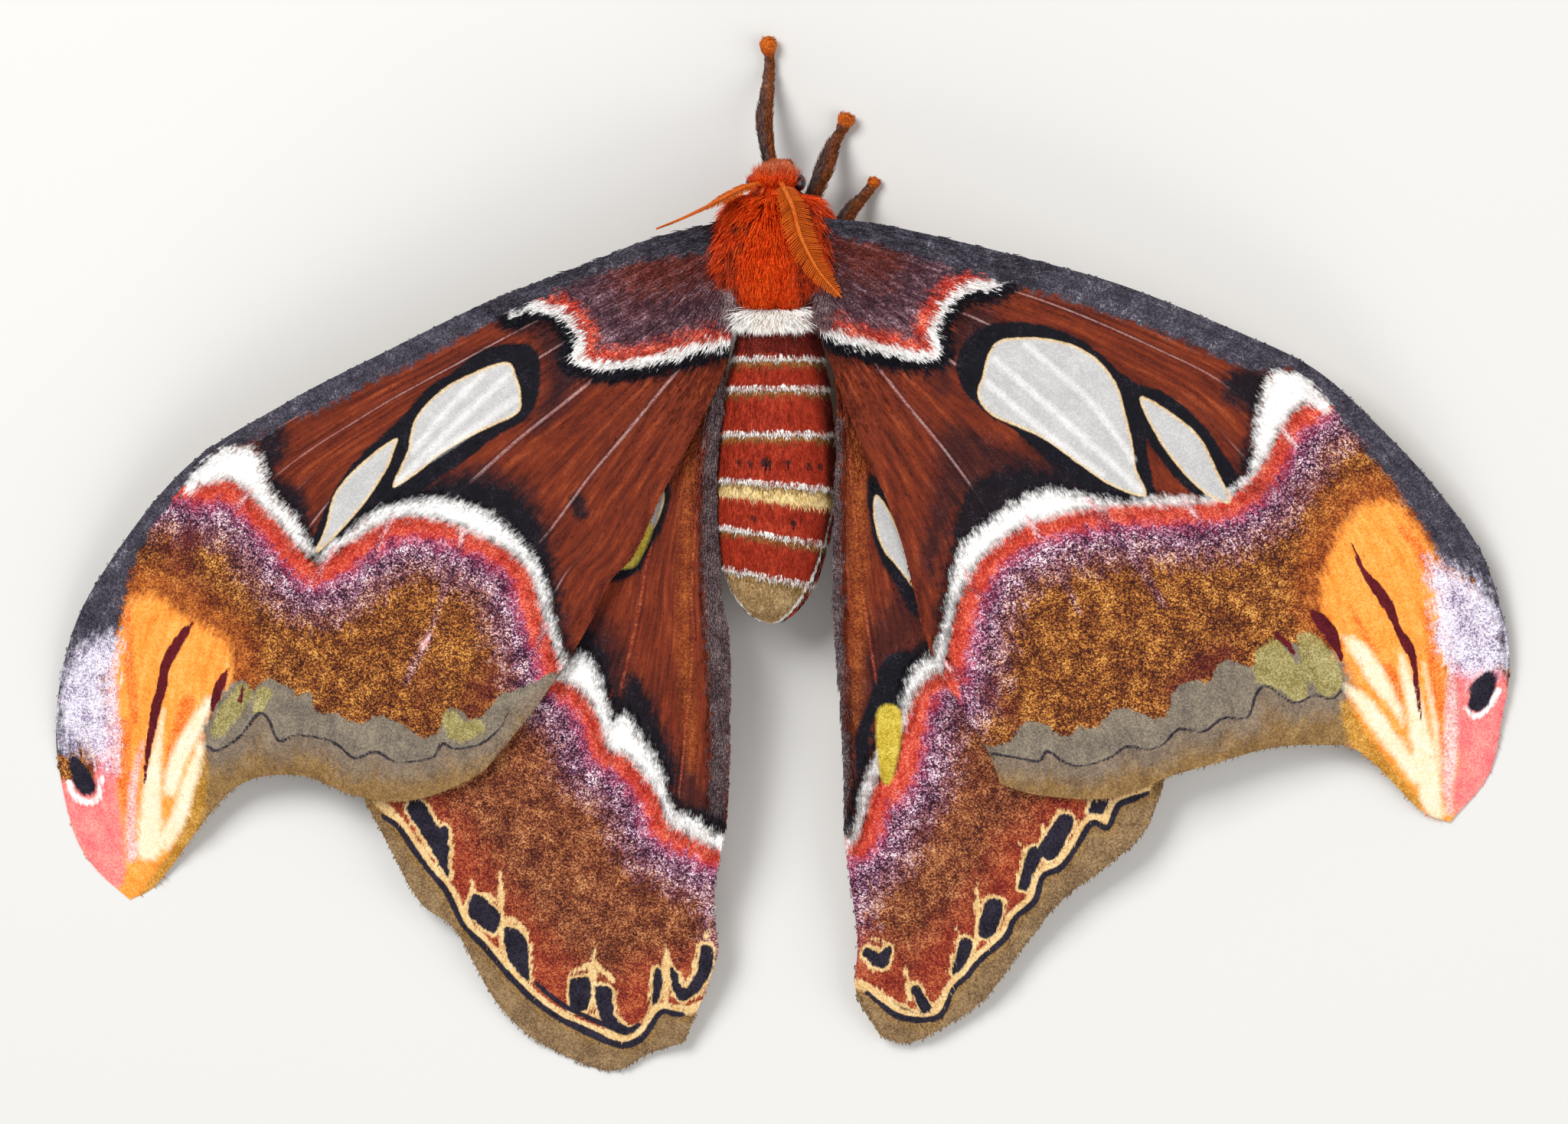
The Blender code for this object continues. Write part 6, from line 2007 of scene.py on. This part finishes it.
HIND_LEG = ((3.2, -3.2, 7.0, 0.9), (7.0, -6.4, 5.9, 1.1), (10.0, -12.0, 3.6, 1.0),
            (11.2, -17.0, 0.8, 0.85), (11.8, -18.8, 0.75, 0.85))
PALP = ((0.9, 10.1, 10.6, 0.5), (1.0, 11.2, 9.8, 0.65), (0.85, 12.1, 9.9, 0.4))
LIMBS = (
    Limb("fore_left", ((-1.8, 5.4, 7.6, 0.9), (-1.8, 9.0, 5.3, 1.0), (-2.5, 13.6, 6.1, 1.0),
                       (-3.2, 17.4, 5.2, 1.2), (-3.3, 21.0, 3.1, 1.05), (-3.4, 24.2, 1.2, 0.9),
                       (-3.4, 26.2, 0.85, 0.8), (-3.5, 27.6, 1.15, 1.25), (-3.5, 28.5, 1.2, 1.3),
                       (-3.5, 29.0, 1.2, 0.9)), "leg_fore_left", 1600),
    Limb("fore_right", ((2.1, 5.3, 7.6, 0.9), (3.6, 8.0, 5.7, 1.15), (4.7, 11.2, 4.6, 1.3),
                        (5.4, 14.5, 2.2, 1.05), (6.1, 16.2, 0.95, 0.85), (6.8, 17.5, 1.15, 1.25),
                        (7.1, 18.2, 1.2, 1.3), (7.3, 18.7, 1.2, 0.9)), "leg_fore_right", 1300),
    Limb("mid_right", ((3.6, 1.0, 6.9, 0.9), (6.6, 3.2, 5.9, 1.1), (8.3, 6.0, 3.8, 1.0),
                       (9.4, 7.7, 1.7, 0.85), (10.3, 9.1, 0.85, 0.85), (10.7, 9.8, 0.85, 1.0),
                       (10.9, 10.2, 0.8, 0.8)), "leg_mid_right"),
    Limb("mid_left", ((-3.6, 1.0, 6.9, 0.9), (-7.6, 0.4, 5.9, 1.1), (-10.8, -0.6, 3.4, 1.0),
                      (-12.8, -1.8, 0.8, 0.85), (-14.2, -2.4, 0.75, 0.85)), "leg_mid_left"),
    Limb("hind_right", HIND_LEG, "leg_hind_right"),
    Limb("hind_left", mirrored(HIND_LEG), "leg_hind_left"),
    Limb("palp_fur_right", PALP, "palp_right", 300, True),
    Limb("palp_fur_left", mirrored(PALP), "palp_left", 300, True),
)


@dataclass(frozen=True)
class Studio:
    """The pale floor, the soft lights and the camera."""

    floor_size: float = 3.0
    floor_colour: Colour = rgb(214, 212, 208)
    floor_rough: float = 0.8
    sky_colour: Colour = rgb(232, 236, 240)
    sky_power: float = 0.4
    lamps: Sequence[tuple[str, Sequence[float], float, float]] = (
        ("key", (-0.35, 0.45, 0.75), 0.5, 8.2), ("fill", (0.75, -0.1, 0.55), 0.7, 4.1),
        ("back", (0.1, -0.85, 0.5), 0.6, 3.2))

    def floor(self) -> None:
        """A plain pale plane under the feet, larger than any view."""
        mesh = bpy.data.meshes.new("floor")
        h = self.floor_size
        mesh.from_pydata([(-h, -h, 0), (h, -h, 0), (h, h, 0), (-h, h, 0)], [], [(0, 1, 2, 3)])
        material, _, shader = make_material("floor_pale")
        shader.inputs["Base Color"].default_value = (*self.floor_colour, 1.0)
        shader.inputs["Roughness"].default_value = self.floor_rough
        mesh.materials.append(material)
        add_object("floor", mesh)

    def light(self, name: str, place: Sequence[float], size: float, power: float) -> None:
        """A square soft light that faces the middle of the moth."""
        lamp = bpy.data.lights.new(name, "AREA")
        lamp.size, lamp.energy = size, power
        item = add_object(name, lamp)
        item.location = Vector(place)
        item.rotation_euler = (-Vector(place)).to_track_quat("-Z", "Y").to_euler()

    def lights(self) -> None:
        """A key from the upper left, a fill from the right, a low light from behind, and a sky."""
        for lamp in self.lamps:
            self.light(*lamp)
        world = bpy.data.worlds.new("sky")
        world.use_nodes = True
        sky = world.node_tree.nodes["Background"]
        sky.inputs["Color"].default_value = (*self.sky_colour, 1.0)
        sky.inputs["Strength"].default_value = self.sky_power
        bpy.context.scene.world = world
        bpy.context.scene.view_settings.view_transform = "Standard"

    def camera(self) -> None:
        """The camera stands off from the drawing's middle along the line of sight."""
        side, up = math.cos(SEEN_ROLL), math.sin(SEEN_ROLL)
        middle = Vector((THORAX[0] + SEEN_MIDDLE[0] * side, THORAX[1] + SEEN_MIDDLE[1],
                         THORAX[2] - SEEN_MIDDLE[0] * up)) * MM
        back = Vector((up, 0.0, side))
        lens = bpy.data.cameras.new("camera")
        lens.sensor_width = SENSOR
        lens.lens = SENSOR * SEEN_FROM / FRAME_WIDTH
        item = add_object("camera", lens)
        across, ahead = Vector((side, 0.0, -up)), Vector((0.0, 1.0, 0.0))
        spot = middle + back * SEEN_FROM * MM
        turned = Matrix((across, ahead, back)).transposed().to_4x4()
        item.matrix_world = Matrix.Translation(spot) @ turned
        bpy.context.scene.camera = item


def main() -> None:
    """Builds every piece in order and reports it."""
    logging.basicConfig(level=logging.INFO, format="%(message)s")
    effects = Effects()
    studio = Studio()
    studio.floor()
    studio.lights()
    studio.camera()
    for wing in WINGS:
        wing.build(effects)
    Trunk().build(effects)
    Eyes().build()
    for feeler in FEELERS:
        feeler.build(effects)
    for limb in LIMBS:
        limb.build(effects)


if __name__ == "__main__":
    main()
